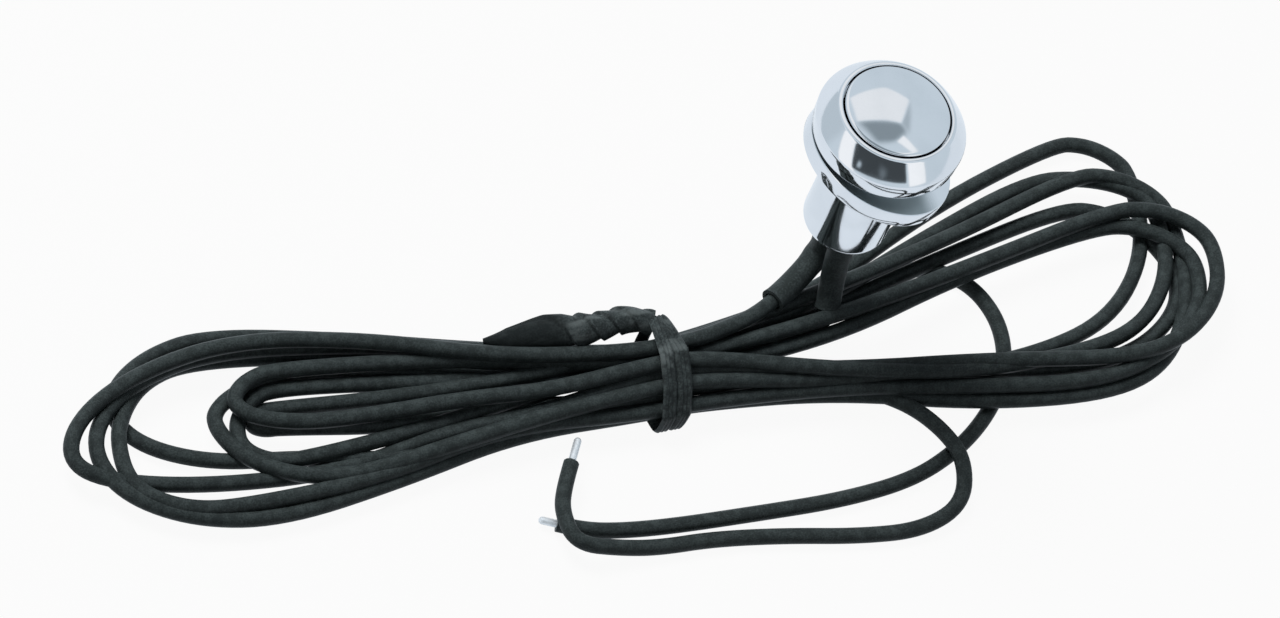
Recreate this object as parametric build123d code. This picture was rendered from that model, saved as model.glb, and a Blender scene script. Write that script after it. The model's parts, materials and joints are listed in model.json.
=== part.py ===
"""Panel pushbutton switch with two insulated leads folded into a tied hank.

Millimetres, +Z up. The origin is the middle of the bezel's underside, where a panel would seat.
X runs along the hank, which lies on the floor; the switch stands over it on its two sleeved leads.
"""

import math
import os

from build123d import *

PARTS = "parts"
LEVEL_TOLERANCE = 0.001

# Housing: bezel, web and barrel in one turned piece
BEZEL_HEIGHT = 4.5
BEZEL_RADIUS = 8.3
BEZEL_WIDEST_Z = 2.07
BEZEL_CROWN = 0.08
BEZEL_EDGE_ROUND = 0.6
BEZEL_FOOT_DRAFT = 0.1
BEZEL_FOOT_CHAMFER = 0.2
LIP_RADIUS = 6.45
LIP_ROUND = 0.12
CAP_BORE_RADIUS = 6.0
WEB_THICKNESS = 1.1
BARREL_RADIUS = 4.75
BARREL_LENGTH = 16.55
BARREL_WALL = 0.6
ROLLED_EDGE = 1.2
ROLLED_LIP = 0.6
MOUTH_RADIUS = 3.45

# Loose ring, askew on the barrel
RING_OVERHANG = 0.25
RING_BORE_CLEARANCE = 0.5
RING_THICKNESS = 1.9
RING_BEVEL = 0.2
RING_MIDDLE = (0.0, -0.26, -3.82)
RING_NORMAL = (0.276, 0.029, 1.0)

# Button cap and stem
BUTTON_TRAVEL = 1.5
CAP_SIDE_GAP = 0.2
CAP_RADIUS = CAP_BORE_RADIUS - CAP_SIDE_GAP
CAP_EDGE_DROP = 0.05
CAP_EDGE_ROUND = 0.2
CAP_DOME_RISE = 1.15
CAP_FLOOR_CLEARANCE = 0.25
STEM_RADIUS = 1.9
STEM_RUNNING_CLEARANCE = 0.05
STEM_END_Z = -3.4
STEM_CHAMFER = 0.2
GROOVE_RADIUS = 1.5

# Stem clip
CLIP_THICKNESS = 0.6
CLIP_RADIUS = 3.0
CLIP_MOUTH = 2.2
CLIP_GAP = 0.05

# Plunger and contact bridge
PLUNGER_GAP = 0.1
PLUNGER_RADIUS = 2.8
PLUNGER_RUNNING_CLEARANCE = 0.1
FLANGE_THICKNESS = 1.0
SPIGOT_RADIUS = 1.05
SPIGOT_LENGTH = 1.2
BRIDGE_RADIUS = 3.6
BRIDGE_THICKNESS = 0.5
CONTACT_GAP = 0.05

# Return spring
SPRING_RADIUS = 1.5
SPRING_WIRE = 0.4
SPRING_TURNS = 6.0
SPRING_SEAT_DEPTH = 0.4
SPRING_SEAT_CLEARANCE = 0.3

# Contact base
BASE_SIDE_CLEARANCE = 0.05
BASE_THICKNESS = 3.35

# Terminals
TERMINAL_INNER_Y = 2.05
TERMINAL_THICKNESS = 0.28
TERMINAL_WIDTH = 0.8
TERMINAL_PAD_Y = 3.5
TERMINAL_LUG = 3.25

# Leads, solder and sleeves
LEAD_RADIUS = 0.875
CONDUCTOR_RADIUS = 0.42
SOLDER_FILM = 0.06
SOLDER_RADIUS = 0.62
CONDUCTOR_DROP = 1.45
INSULATION_DROP = 3.45
SOLDER_TOP_DROP = 1.65
SOLDER_BOTTOM_DROP = 3.15
LEAD_EXIT_DROP = 4.95
SLEEVE_WALL = 0.525
SLEEVE_TOP_GAP = 0.1
FILLET_SHARE = 0.45

# Floor under the hank, and heights above it
STANDING_ROOM = 15.95
LYING = LEAD_RADIUS
CROSSING = 2.75

# Hank: the outline of the folded leads, its openings, and the packed bundle at the tie
HANK_HEIGHT = 5.4
HANK_ROUND = 1.2
HANK_OUTLINE = [
    (-18.0, -0.9),
    (6.0, 3.2),
    (29.0, 13.6),
    (41.0, 13.6),
    (48.8, 0.5),
    (48.6, -10.0),
    (38.5, -18.9),
    (27.0, -20.8),
    (3.0, -15.4),
    (-17.0, -12.7),
    (-45.0, -11.6),
    (-60.0, -15.8),
    (-76.0, -15.6),
    (-86.5, -10.4),
    (-89.6, -2.6),
    (-82.0, 5.6),
    (-74.5, 10.0),
    (-61.0, 9.8),
    (-43.0, 1.6),
]
HANK_OUTLINE_ROUND = 3.5
RIGHT_OPENING = [
    (4.0, -5.6),
    (20.0, -2.4),
    (34.0, -1.1),
    (38.0, -3.2),
    (33.0, -7.8),
    (20.0, -10.6),
    (6.0, -9.0),
]
LEFT_OPENING = [(-79.0, 0.0), (-74.0, 3.4), (-72.4, -1.0), (-74.2, -4.4)]
OPENING_ROUND = 0.8
BUNDLE_CORNERS = [(-10.7, 1.75), (-2.9, 1.75), (-5.5, 6.3), (-7.4, 6.1), (-9.6, 4.85), (-11.5, 3.0)]
BUNDLE_LEFT_X = -31.0
BUNDLE_RIGHT_X = -9.5

# Twist tie: two wraps of a flat band and the twisted ends
TIE_LEFT_X = -22.95
TIE_CORNERS = [(-11.6, 1.5), (-2.9, 1.5), (-3.8, 7.2), (-7.0, 6.9), (-9.7, 5.0), (-11.6, 3.0)]
TIE_BAND_WIDTH = 1.65
TIE_BAND_GAP = 0.2
TIE_THICKNESS = 0.5
TIE_BRIDGE_THICKNESS = 0.3
TIE_SIDE_CLEARANCE = 0.3
PIGTAIL_LEAN = -34.0
PIGTAIL_STEPS = 4
# One tape's edge over half a turn of the section: share of the half turn, reach
PIGTAIL_LAP = [(0.0, 0.92), (0.08, 1.0), (0.16, 1.06), (0.4, 1.02), (0.7, 0.97), (1.0, 0.92)]
# Along the twisted ends: x, y, height over the floor, half width, flatness, twist
PIGTAIL_KNOTS = [
    (-21.6, -3.0, 7.3, 1.3, 0.9, -40.0),
    (-22.8, -2.4, 7.3, 1.45, 1.0, 60.0),
    (-24.7, -1.9, 7.3, 1.46, 1.0, 165.0),
    (-26.8, -2.1, 7.2, 1.52, 0.95, 330.0),
    (-29.3, -2.15, 7.0, 1.72, 0.9, 500.0),
    (-31.8, -1.5, 6.6, 1.85, 0.75, 640.0),
    (-33.9, -1.05, 6.25, 1.75, 0.55, 700.0),
    (-36.2, -0.8, 5.85, 1.45, 0.45, 715.0),
    (-38.3, -0.5, 5.45, 1.1, 0.4, 720.0),
    (-40.0, -0.1, 5.05, 0.6, 0.4, 720.0),
]

# Corner points of the leads where they run free (x, y, height over the floor)
LEAD_A_DROP = [
    (0.5, 1.7, 7.4),
    (-4.3, -1.3, 6.2),
    (-9.0, -3.6, 5.9),
    (-12.8, -4.6, 6.1),
]
LEAD_B_DROP = [(0.5, -2.2, 6.6), (-0.3, -5.0, 2.6), (-4.5, -5.6, 1.9)]
SLEEVE_A_CORNERS = 3
SLEEVE_A_END = 0.52
SLEEVE_B_CORNERS = 2
SLEEVE_B_END = 0.5
LEAD_A_TAIL = [
    (13.2, 1.5, LYING),
    (17.4, 0.1, LYING),
    (20.2, -3.2, LYING),
    (20.9, -8.4, LYING),
    (18.7, -14.2, LYING),
    (14.6, -18.6, LYING),
    (9.5, -22.0, LYING),
    (2.9, -24.5, LYING),
    (-6.1, -25.2, LYING),
    (-16.0, -24.8, LYING),
    (-25.9, -24.3, LYING),
    (-32.0, -23.6, LYING),
    (-36.0, -22.6, LYING),
    (-38.4, -21.3, LYING),
]
LEAD_B_TAIL = [
    (-4.0, -10.4, 1.8),
    (1.5, -12.8, 1.8),
    (5.6, -15.9, 2.2),
    (7.9, -20.1, CROSSING),
    (8.9, -24.3, CROSSING),
    (7.2, -28.9, 1.4),
    (1.5, -30.7, LYING),
    (-5.9, -29.9, LYING),
    (-13.9, -28.1, LYING),
    (-22.0, -26.8, LYING),
    (-28.4, -26.6, 1.0),
    (-33.0, -26.1, 1.7),
    (-38.1, -25.1, CROSSING),
    (-38.2, -21.1, CROSSING),
    (-36.9, -18.3, CROSSING),
    (-34.9, -15.45, CROSSING),
]
TIP_A_LENGTH = 2.0
TIP_B_LENGTH = 3.4

# Levels and places that follow from the sizes above
FLOOR_Z = -(BARREL_LENGTH + STANDING_ROOM)
BEZEL_FOOT_RADIUS = BEZEL_RADIUS - BEZEL_FOOT_DRAFT
RING_RADIUS = BEZEL_RADIUS + RING_OVERHANG
RING_BORE_RADIUS = BARREL_RADIUS + RING_BORE_CLEARANCE
LEAD_Y = TERMINAL_INNER_Y - SOLDER_FILM - CONDUCTOR_RADIUS
CAP_BOTTOM_Z = WEB_THICKNESS + CAP_FLOOR_CLEARANCE + BUTTON_TRAVEL
CAP_EDGE_Z = BEZEL_HEIGHT - CAP_EDGE_DROP
CLIP_TOP_Z = -CLIP_GAP
CLIP_BOTTOM_Z = CLIP_TOP_Z - CLIP_THICKNESS
PLUNGER_TOP_Z = CLIP_BOTTOM_Z - PLUNGER_GAP
PLUNGER_BOTTOM_Z = STEM_END_Z - FLANGE_THICKNESS
BRIDGE_BOTTOM_Z = PLUNGER_BOTTOM_Z - BRIDGE_THICKNESS
PAD_TOP_Z = BRIDGE_BOTTOM_Z - BUTTON_TRAVEL - CONTACT_GAP
BARREL_BORE_RADIUS = BARREL_RADIUS - BARREL_WALL
BASE_BOTTOM_Z = ROLLED_LIP - BARREL_LENGTH
BASE_TOP_Z = BASE_BOTTOM_Z + BASE_THICKNESS
SPRING_SEAT_Z = BASE_TOP_Z - SPRING_SEAT_DEPTH
SLEEVE_TOP_Z = BASE_BOTTOM_Z - SLEEVE_TOP_GAP
TERMINAL_END_Z = BASE_BOTTOM_Z - TERMINAL_LUG
CONDUCTOR_TOP_Z = BASE_BOTTOM_Z - CONDUCTOR_DROP
INSULATION_TOP_Z = BASE_BOTTOM_Z - INSULATION_DROP
SOLDER_TOP_Z = BASE_BOTTOM_Z - SOLDER_TOP_DROP
SOLDER_BOTTOM_Z = BASE_BOTTOM_Z - SOLDER_BOTTOM_DROP
LEAD_EXIT_Z = BASE_BOTTOM_Z - LEAD_EXIT_DROP
SLEEVE_RADIUS = LEAD_RADIUS + SLEEVE_WALL
TIE_WIDTH = 2 * TIE_BAND_WIDTH + TIE_BAND_GAP


def turned(*edges):
    """The solid of revolution about Z of a closed profile drawn in the XZ plane."""
    return revolve(make_face(Wire(edges)), Axis.Z)


def profile(*points):
    """Straight profile edges through (radius, z) points."""
    return Polyline(*[(r, 0, z) for r, z in points]).edges()


def arc(start, middle, end):
    """A profile arc through three (radius, z) points."""
    return ThreePointArc(*[(r, 0, z) for r, z in (start, middle, end)])


def circles_at(solid, z):
    """The circular edges of a turned solid at one height."""
    low, high = z - LEVEL_TOLERANCE, z + LEVEL_TOLERANCE
    return solid.edges().filter_by(GeomType.CIRCLE).filter_by_position(Axis.Z, low, high)


def round_bar(radius, x, y, z_low, z_high):
    """An upright cylinder between two heights."""
    bar = Cylinder(radius, z_high - z_low, align=(Align.CENTER, Align.CENTER, Align.MIN))
    return Pos(x, y, z_low) * bar


def housing():
    """The bezel, the web that guides the stem, and the barrel with its lower edge rolled in."""
    bottom = -BARREL_LENGTH
    roll_middle = BARREL_RADIUS - ROLLED_EDGE
    lean = ROLLED_EDGE * math.sqrt(0.5)
    run, fall = BEZEL_RADIUS - LIP_RADIUS, BEZEL_HEIGHT - BEZEL_WIDEST_Z
    crown = BEZEL_CROWN / math.hypot(run, fall)
    crown_point = (LIP_RADIUS + run / 2 + crown * fall, BEZEL_WIDEST_Z + fall / 2 + crown * run)
    top = profile((CAP_BORE_RADIUS, BEZEL_HEIGHT), (LIP_RADIUS, BEZEL_HEIGHT))
    shoulder = arc((LIP_RADIUS, BEZEL_HEIGHT), crown_point, (BEZEL_RADIUS, BEZEL_WIDEST_Z))
    side = profile(
        (BEZEL_RADIUS, BEZEL_WIDEST_Z),
        (BEZEL_FOOT_RADIUS, BEZEL_FOOT_CHAMFER),
        (BEZEL_FOOT_RADIUS - BEZEL_FOOT_CHAMFER, 0),
        (BARREL_RADIUS, 0),
        (BARREL_RADIUS, bottom + ROLLED_EDGE),
    )
    roll = arc(
        (BARREL_RADIUS, bottom + ROLLED_EDGE),
        (roll_middle + lean, bottom + ROLLED_EDGE - lean),
        (roll_middle, bottom),
    )
    inside = profile(
        (roll_middle, bottom),
        (MOUTH_RADIUS, bottom),
        (MOUTH_RADIUS, bottom + ROLLED_LIP),
        (BARREL_BORE_RADIUS, bottom + ROLLED_LIP),
        (BARREL_BORE_RADIUS, 0),
        (STEM_RADIUS + STEM_RUNNING_CLEARANCE, 0),
        (STEM_RADIUS + STEM_RUNNING_CLEARANCE, WEB_THICKNESS),
        (CAP_BORE_RADIUS, WEB_THICKNESS),
        (CAP_BORE_RADIUS, BEZEL_HEIGHT),
    )
    body = turned(*top, shoulder, *side, roll, *inside)
    body = fillet(circles_at(body, BEZEL_WIDEST_Z), BEZEL_EDGE_ROUND)
    return fillet(circles_at(body, BEZEL_HEIGHT), LIP_ROUND)


def loose_ring():
    """The flat ring, tilted as far as its bore lets it on the barrel."""
    ring = Cylinder(RING_RADIUS, RING_THICKNESS) - Cylinder(RING_BORE_RADIUS, RING_THICKNESS)
    ring = chamfer(ring.edges().filter_by(GeomType.CIRCLE), RING_BEVEL)
    return Plane(origin=RING_MIDDLE, z_dir=RING_NORMAL) * ring


def button_cap():
    """The domed cap with its stem and the groove for the clip."""
    dome_radius = CAP_RADIUS - CAP_EDGE_ROUND
    dome_z = CAP_EDGE_Z + CAP_EDGE_ROUND
    apex = dome_z + CAP_DOME_RISE
    sphere = (dome_radius**2 + CAP_DOME_RISE**2) / (2 * CAP_DOME_RISE)
    half = dome_radius / 2
    half_z = apex - sphere + math.sqrt(sphere**2 - half**2)
    lean = CAP_EDGE_ROUND * math.sqrt(0.5)
    stem = profile(
        (0, STEM_END_Z),
        (STEM_RADIUS - STEM_CHAMFER, STEM_END_Z),
        (STEM_RADIUS, STEM_END_Z + STEM_CHAMFER),
        (STEM_RADIUS, CLIP_BOTTOM_Z),
        (GROOVE_RADIUS, CLIP_BOTTOM_Z),
        (GROOVE_RADIUS, CLIP_TOP_Z),
        (STEM_RADIUS, CLIP_TOP_Z),
        (STEM_RADIUS, CAP_BOTTOM_Z),
        (CAP_RADIUS, CAP_BOTTOM_Z),
        (CAP_RADIUS, CAP_EDGE_Z),
    )
    edge = arc(
        (CAP_RADIUS, CAP_EDGE_Z),
        (dome_radius + lean, CAP_EDGE_Z + lean),
        (dome_radius, dome_z),
    )
    dome = arc((dome_radius, dome_z), (half, half_z), (0, apex))
    return turned(*stem, edge, dome, *profile((0, apex), (0, STEM_END_Z)))


def stem_clip():
    """The open clip sprung into the stem's groove."""
    clip = round_bar(CLIP_RADIUS, 0, 0, CLIP_BOTTOM_Z, CLIP_TOP_Z)
    clip -= round_bar(GROOVE_RADIUS, 0, 0, CLIP_BOTTOM_Z, CLIP_TOP_Z)
    mouth = Box(CLIP_RADIUS, CLIP_MOUTH, CLIP_THICKNESS, align=(Align.MIN, Align.CENTER, Align.MIN))
    return clip - Pos(0, 0, CLIP_BOTTOM_Z) * mouth


def plunger():
    """The insulating follower: a socket for the stem, a guiding flange and a spigot."""
    body = round_bar(PLUNGER_RADIUS, 0, 0, PLUNGER_BOTTOM_Z, PLUNGER_TOP_Z)
    flange_radius = BARREL_BORE_RADIUS - PLUNGER_RUNNING_CLEARANCE
    body += round_bar(flange_radius, 0, 0, PLUNGER_BOTTOM_Z, STEM_END_Z)
    body += round_bar(SPIGOT_RADIUS, 0, 0, PLUNGER_BOTTOM_Z - SPIGOT_LENGTH, PLUNGER_BOTTOM_Z)
    return body - button_cap()


def contact_bridge():
    """The disc on the plunger's spigot that joins the two terminals when pressed."""
    disc = round_bar(BRIDGE_RADIUS, 0, 0, BRIDGE_BOTTOM_Z, PLUNGER_BOTTOM_Z)
    return disc - round_bar(SPIGOT_RADIUS, 0, 0, BRIDGE_BOTTOM_Z, PLUNGER_BOTTOM_Z)


def return_spring():
    """The coil between the bridge and its seat in the contact base."""
    low = SPRING_SEAT_Z + SPRING_WIRE / 2
    high = BRIDGE_BOTTOM_Z - SPRING_WIRE / 2
    coil = Pos(0, 0, low) * Helix((high - low) / SPRING_TURNS, high - low, SPRING_RADIUS)
    section = Plane(origin=coil @ 0, z_dir=coil % 0) * Circle(SPRING_WIRE / 2)
    return sweep(section, path=coil, is_frenet=True)


def terminal(side):
    """A strip through the base with a contact pad at its top and a solder lug below."""
    pad = PAD_TOP_Z - TERMINAL_THICKNESS
    outer = TERMINAL_INNER_Y + TERMINAL_THICKNESS
    corners = [
        (TERMINAL_INNER_Y, TERMINAL_END_Z),
        (outer, TERMINAL_END_Z),
        (outer, pad),
        (TERMINAL_PAD_Y, pad),
        (TERMINAL_PAD_Y, PAD_TOP_Z),
        (TERMINAL_INNER_Y, PAD_TOP_Z),
    ]
    outline = Polyline(*[(0, side * y, z) for y, z in corners], close=True)
    return extrude(make_face(outline), TERMINAL_WIDTH / 2, dir=(1, 0, 0), both=True)


def contact_base(terminals):
    """The insulating plug in the barrel's mouth, moulded round the terminals."""
    base = round_bar(BARREL_BORE_RADIUS - BASE_SIDE_CLEARANCE, 0, 0, BASE_BOTTOM_Z, BASE_TOP_Z)
    seat = SPRING_RADIUS + SPRING_WIRE / 2 + SPRING_SEAT_CLEARANCE
    base -= round_bar(seat, 0, 0, SPRING_SEAT_Z, BASE_TOP_Z)
    for strip in terminals:
        base -= strip
    return base


def over_floor(points):
    """Points given by height over the floor, in the part's frame."""
    return [(x, y, FLOOR_Z + height) for x, y, height in points]


def bend_radii(points):
    """The bend radius at each inner corner, from the shorter run beside it and the turn."""
    radii = []
    for before, corner, after in zip(points, points[1:], points[2:]):
        run_in = Vector(*corner) - Vector(*before)
        run_out = Vector(*after) - Vector(*corner)
        shorter = min(run_in.length, run_out.length)
        half_turn = math.radians(run_in.get_angle(run_out)) / 2
        radii.append(FILLET_SHARE * shorter / math.tan(half_turn))
    return radii


def tube(points, radii, radius):
    """A round tube along straight runs joined by tangent arcs."""
    path = FilletPolyline(*points, radius=radii)
    section = Plane(origin=path @ 0, z_dir=path % 0) * Circle(radius)
    return sweep(section, path=path), path


def report_tube(name, points, radii, solid, path, radius):
    """Print a tube's bend radii and its volume beside section times length."""
    shown = [round(r, 1) for r in radii]
    expected = math.pi * radius**2 * path.length
    print(name, "length", round(path.length, 1), "radii", shown)
    print(name, "volume", round(solid.volume, 2), "section times length", round(expected, 2))


def lead_points(side, drop):
    """The corner points of a lead from the end of its insulation to the hank."""
    y = side * LEAD_Y
    return [(0, y, INSULATION_TOP_Z), (0, y, LEAD_EXIT_Z), *over_floor(drop)]


def lead_start(name, side, drop):
    """A lead from its soldered conductor to where it joins the hank."""
    points = lead_points(side, drop)
    radii = bend_radii(points)
    insulated, path = tube(points, radii, LEAD_RADIUS)
    report_tube(name, points, radii, insulated, path, LEAD_RADIUS)
    y = side * LEAD_Y
    return insulated + round_bar(CONDUCTOR_RADIUS, 0, y, INSULATION_TOP_Z, CONDUCTOR_TOP_Z)


def sleeve(side, drop, corners, end_share):
    """Heat-shrink tubing over the joint, along the same path as the lead it grips."""
    whole = lead_points(side, drop)
    radii = bend_radii(whole)[:corners]
    last = Vector(*whole[corners])
    end = last + (Vector(*whole[corners + 1]) - last) * end_share
    points = [(0, side * LEAD_Y, SLEEVE_TOP_Z), *whole[1 : corners + 1], tuple(end)]
    outer, _ = tube(points, radii, SLEEVE_RADIUS)
    inner, _ = tube(points, radii, LEAD_RADIUS)
    return outer - inner


def solder_joint(side, strip, lead):
    """Solder that wets the conductor and the lug beside it."""
    y = side * LEAD_Y
    bead = round_bar(SOLDER_RADIUS, 0, y, SOLDER_BOTTOM_Z, SOLDER_TOP_Z)
    return bead - strip - lead


def lead_tail(name, corners):
    """The free end of a lead, from the hank to the end of its insulation."""
    points = over_floor(corners)
    radii = bend_radii(points)
    solid, path = tube(points, radii, LEAD_RADIUS)
    report_tube(name, points, radii, solid, path, LEAD_RADIUS)
    return solid


def lead_tip(corners, length):
    """The stripped conductor that carries on from the end of a tail."""
    before, end = [Vector(*p) for p in over_floor(corners)[-2:]]
    tip = Cylinder(CONDUCTOR_RADIUS, length, align=(Align.CENTER, Align.CENTER, Align.MIN))
    return Plane(origin=end, z_dir=end - before) * tip


def rounded_outline(points, radius):
    """A face on the floor with straight sides and rounded corners."""
    return make_face(FilletPolyline(*points, radius=radius, close=True))


def across(corners, margin, x_low, x_high):
    """A length along X of an outline given by its corners (y, height), grown by a margin."""
    places = [(y, FLOOR_Z + height) for y, height in corners]
    face = offset(make_face(Polyline(*places, close=True)), margin)
    here = Plane(origin=(x_low, 0, 0), x_dir=(0, 1, 0), z_dir=(1, 0, 0))
    return extrude(here * face, x_high - x_low, dir=(1, 0, 0))


def hank():
    """The folded leads as one outer shape, necked to the packed bundle under the tie."""
    plan = rounded_outline(HANK_OUTLINE, HANK_OUTLINE_ROUND)
    plan -= rounded_outline(RIGHT_OPENING, OPENING_ROUND)
    plan -= rounded_outline(LEFT_OPENING, OPENING_ROUND)
    slab = Pos(0, 0, FLOOR_Z) * extrude(plan, HANK_HEIGHT)
    flat = slab.faces().filter_by(Axis.Z)
    slab = chamfer((flat[0].edges() + flat[-1].edges()), HANK_ROUND)
    neck_width = TIE_WIDTH + 2 * TIE_SIDE_CLEARANCE
    span = abs(BUNDLE_CORNERS[0][0]) * 3
    neck = Box(neck_width, span, HANK_HEIGHT * 2, align=(Align.MIN, Align.CENTER, Align.CENTER))
    slab -= Pos(TIE_LEFT_X - TIE_SIDE_CLEARANCE, BUNDLE_CORNERS[2][0], FLOOR_Z) * neck
    return slab + across(BUNDLE_CORNERS, LEAD_RADIUS, BUNDLE_LEFT_X, BUNDLE_RIGHT_X)


def between(knots, steps):
    """Rows of values that go evenly from each knot to the next."""
    rows = []
    for here, there in zip(knots, knots[1:]):
        shares = [step / steps for step in range(steps)]
        rows += [[a + share * (b - a) for a, b in zip(here, there)] for share in shares]
    return [*rows, list(knots[-1])]


def lapped_section(half_width, flatness, twist):
    """A face across the twisted ends: two tapes, each lapping over the other's edge."""
    sides = []
    for start in (0, math.pi):
        points = []
        for share, reach in PIGTAIL_LAP:
            angle = math.radians(twist) + start + math.pi * share
            across, up = half_width * reach * math.cos(angle), half_width * reach * math.sin(angle)
            points.append((across, flatness * up))
        sides.append(Spline(*points))
    return make_face(Wire(sides))


def pigtail():
    """The two ends of the tie twisted together, flattened where they lie on the hank."""
    sections = []
    for x, y, height, half_width, flatness, twist in between(PIGTAIL_KNOTS, PIGTAIL_STEPS):
        here = Plane(origin=(x, y, FLOOR_Z + height), x_dir=(0, 1, 0), z_dir=(-1, 0, 0))
        sections.append(here * Rot(0, 0, PIGTAIL_LEAN) * lapped_section(half_width, flatness, twist))
    return loft(sections, ruled=True)


def band(thickness, x_low, x_high):
    """A stretch of the tie's band, closed round the bundle with some slack."""
    outer = across(TIE_CORNERS, LEAD_RADIUS + thickness, x_low, x_high)
    return outer - across(TIE_CORNERS, LEAD_RADIUS, x_low, x_high)


def twist_tie(leads):
    """Two wraps of the band round the bundle and the twisted ends, lying on the leads."""
    right = TIE_LEFT_X + TIE_WIDTH
    first_end = TIE_LEFT_X + TIE_BAND_WIDTH
    tie = band(TIE_THICKNESS, TIE_LEFT_X, first_end)
    tie += band(TIE_THICKNESS, first_end + TIE_BAND_GAP, right)
    tie += band(TIE_BRIDGE_THICKNESS, TIE_LEFT_X, right)
    return tie + pigtail() - leads


def main():
    """Build every piece and write one file for each."""
    terminal_a, terminal_b = terminal(1), terminal(-1)
    lead_a = lead_start("lead_a_start", 1, LEAD_A_DROP)
    lead_b = lead_start("lead_b_start", -1, LEAD_B_DROP)
    folded = hank()
    pieces = {
        "switch_housing": housing(),
        "loose_ring": loose_ring(),
        "button_cap": button_cap(),
        "stem_clip": stem_clip(),
        "plunger": plunger(),
        "contact_bridge": contact_bridge(),
        "return_spring": return_spring(),
        "contact_base": contact_base([terminal_a, terminal_b]),
        "terminal_a": terminal_a,
        "terminal_b": terminal_b,
        "solder_joint_a": solder_joint(1, terminal_a, lead_a),
        "solder_joint_b": solder_joint(-1, terminal_b, lead_b),
        "sleeve_a": sleeve(1, LEAD_A_DROP, SLEEVE_A_CORNERS, SLEEVE_A_END),
        "sleeve_b": sleeve(-1, LEAD_B_DROP, SLEEVE_B_CORNERS, SLEEVE_B_END),
        "lead_a_start": lead_a,
        "lead_b_start": lead_b,
        "wire_hank": folded,
        "twist_tie": twist_tie(folded),
        "lead_a_tail": lead_tail("lead_a_tail", LEAD_A_TAIL),
        "lead_b_tail": lead_tail("lead_b_tail", LEAD_B_TAIL),
        "lead_a_tip": lead_tip(LEAD_A_TAIL, TIP_A_LENGTH),
        "lead_b_tip": lead_tip(LEAD_B_TAIL, TIP_B_LENGTH),
    }
    os.makedirs(PARTS, exist_ok=True)
    for name, shape in pieces.items():
        export_step(shape, f"{PARTS}/{name}.step")


main()
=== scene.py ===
"""Looks of a chromed panel pushbutton with two sleeved leads, folded into a hank and held by a twist tie.

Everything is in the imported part's own frame, in metres: the origin is the middle of the bezel's underside,
+Z goes up out of the button, and X runs along the folded leads. Sizes are written in millimetres and angles
in degrees.
"""

from __future__ import annotations

import json
import logging
import math
from dataclasses import dataclass
from enum import Enum
from typing import Sequence

import bmesh
import bpy
from mathutils import Matrix, Vector

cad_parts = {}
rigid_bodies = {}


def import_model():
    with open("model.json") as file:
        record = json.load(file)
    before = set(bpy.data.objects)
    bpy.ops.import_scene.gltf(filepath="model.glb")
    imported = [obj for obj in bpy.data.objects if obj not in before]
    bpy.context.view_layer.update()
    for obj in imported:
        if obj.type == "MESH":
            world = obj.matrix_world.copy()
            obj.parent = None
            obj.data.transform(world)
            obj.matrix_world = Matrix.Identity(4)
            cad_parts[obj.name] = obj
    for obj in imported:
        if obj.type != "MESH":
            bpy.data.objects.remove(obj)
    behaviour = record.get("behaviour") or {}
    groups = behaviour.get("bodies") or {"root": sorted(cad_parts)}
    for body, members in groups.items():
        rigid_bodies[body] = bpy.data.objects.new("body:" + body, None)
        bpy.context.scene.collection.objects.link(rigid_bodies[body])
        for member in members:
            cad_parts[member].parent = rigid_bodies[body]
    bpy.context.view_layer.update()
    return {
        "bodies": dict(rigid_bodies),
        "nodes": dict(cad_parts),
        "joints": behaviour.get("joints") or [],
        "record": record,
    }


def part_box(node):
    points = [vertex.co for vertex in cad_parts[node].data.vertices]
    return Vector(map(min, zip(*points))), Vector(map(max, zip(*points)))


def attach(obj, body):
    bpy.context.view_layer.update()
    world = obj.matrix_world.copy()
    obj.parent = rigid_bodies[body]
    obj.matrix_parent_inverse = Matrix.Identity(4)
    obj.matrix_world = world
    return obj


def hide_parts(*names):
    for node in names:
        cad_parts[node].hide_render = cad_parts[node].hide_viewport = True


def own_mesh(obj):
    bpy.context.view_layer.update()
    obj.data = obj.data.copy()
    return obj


LOG = logging.getLogger("pushbutton")
MM = 0.001
FLOOR = -32.5
WELD_DISTANCE = 1e-7
SWEPT_CREASE = 60.0
NOISE_MIDDLE = 0.5
WHITE = (1, 1, 1, 1)
X_AXIS, Y_AXIS, Z_AXIS = Vector((1, 0, 0)), Vector((0, 1, 0)), Vector((0, 0, 1))
Point = tuple[float, float, float]
Section = list[tuple[float, float]]


class Body(Enum):
    """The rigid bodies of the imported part."""

    SWITCH = "switch"
    BUTTON = "button"


def metres(x: float, y: float, z: float) -> Vector:
    """A point given in millimetres, in metres."""
    return Vector((x, y, z)) * MM


def over_floor(x: float, y: float, height: float) -> Vector:
    """A point given in millimetres by its height over the floor, in metres."""
    return metres(x, y, FLOOR + height)


def smooth_step(share: float) -> float:
    """An ease from 0 to 1 that starts and ends level."""
    return share * share * (3.0 - 2.0 * share)


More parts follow.
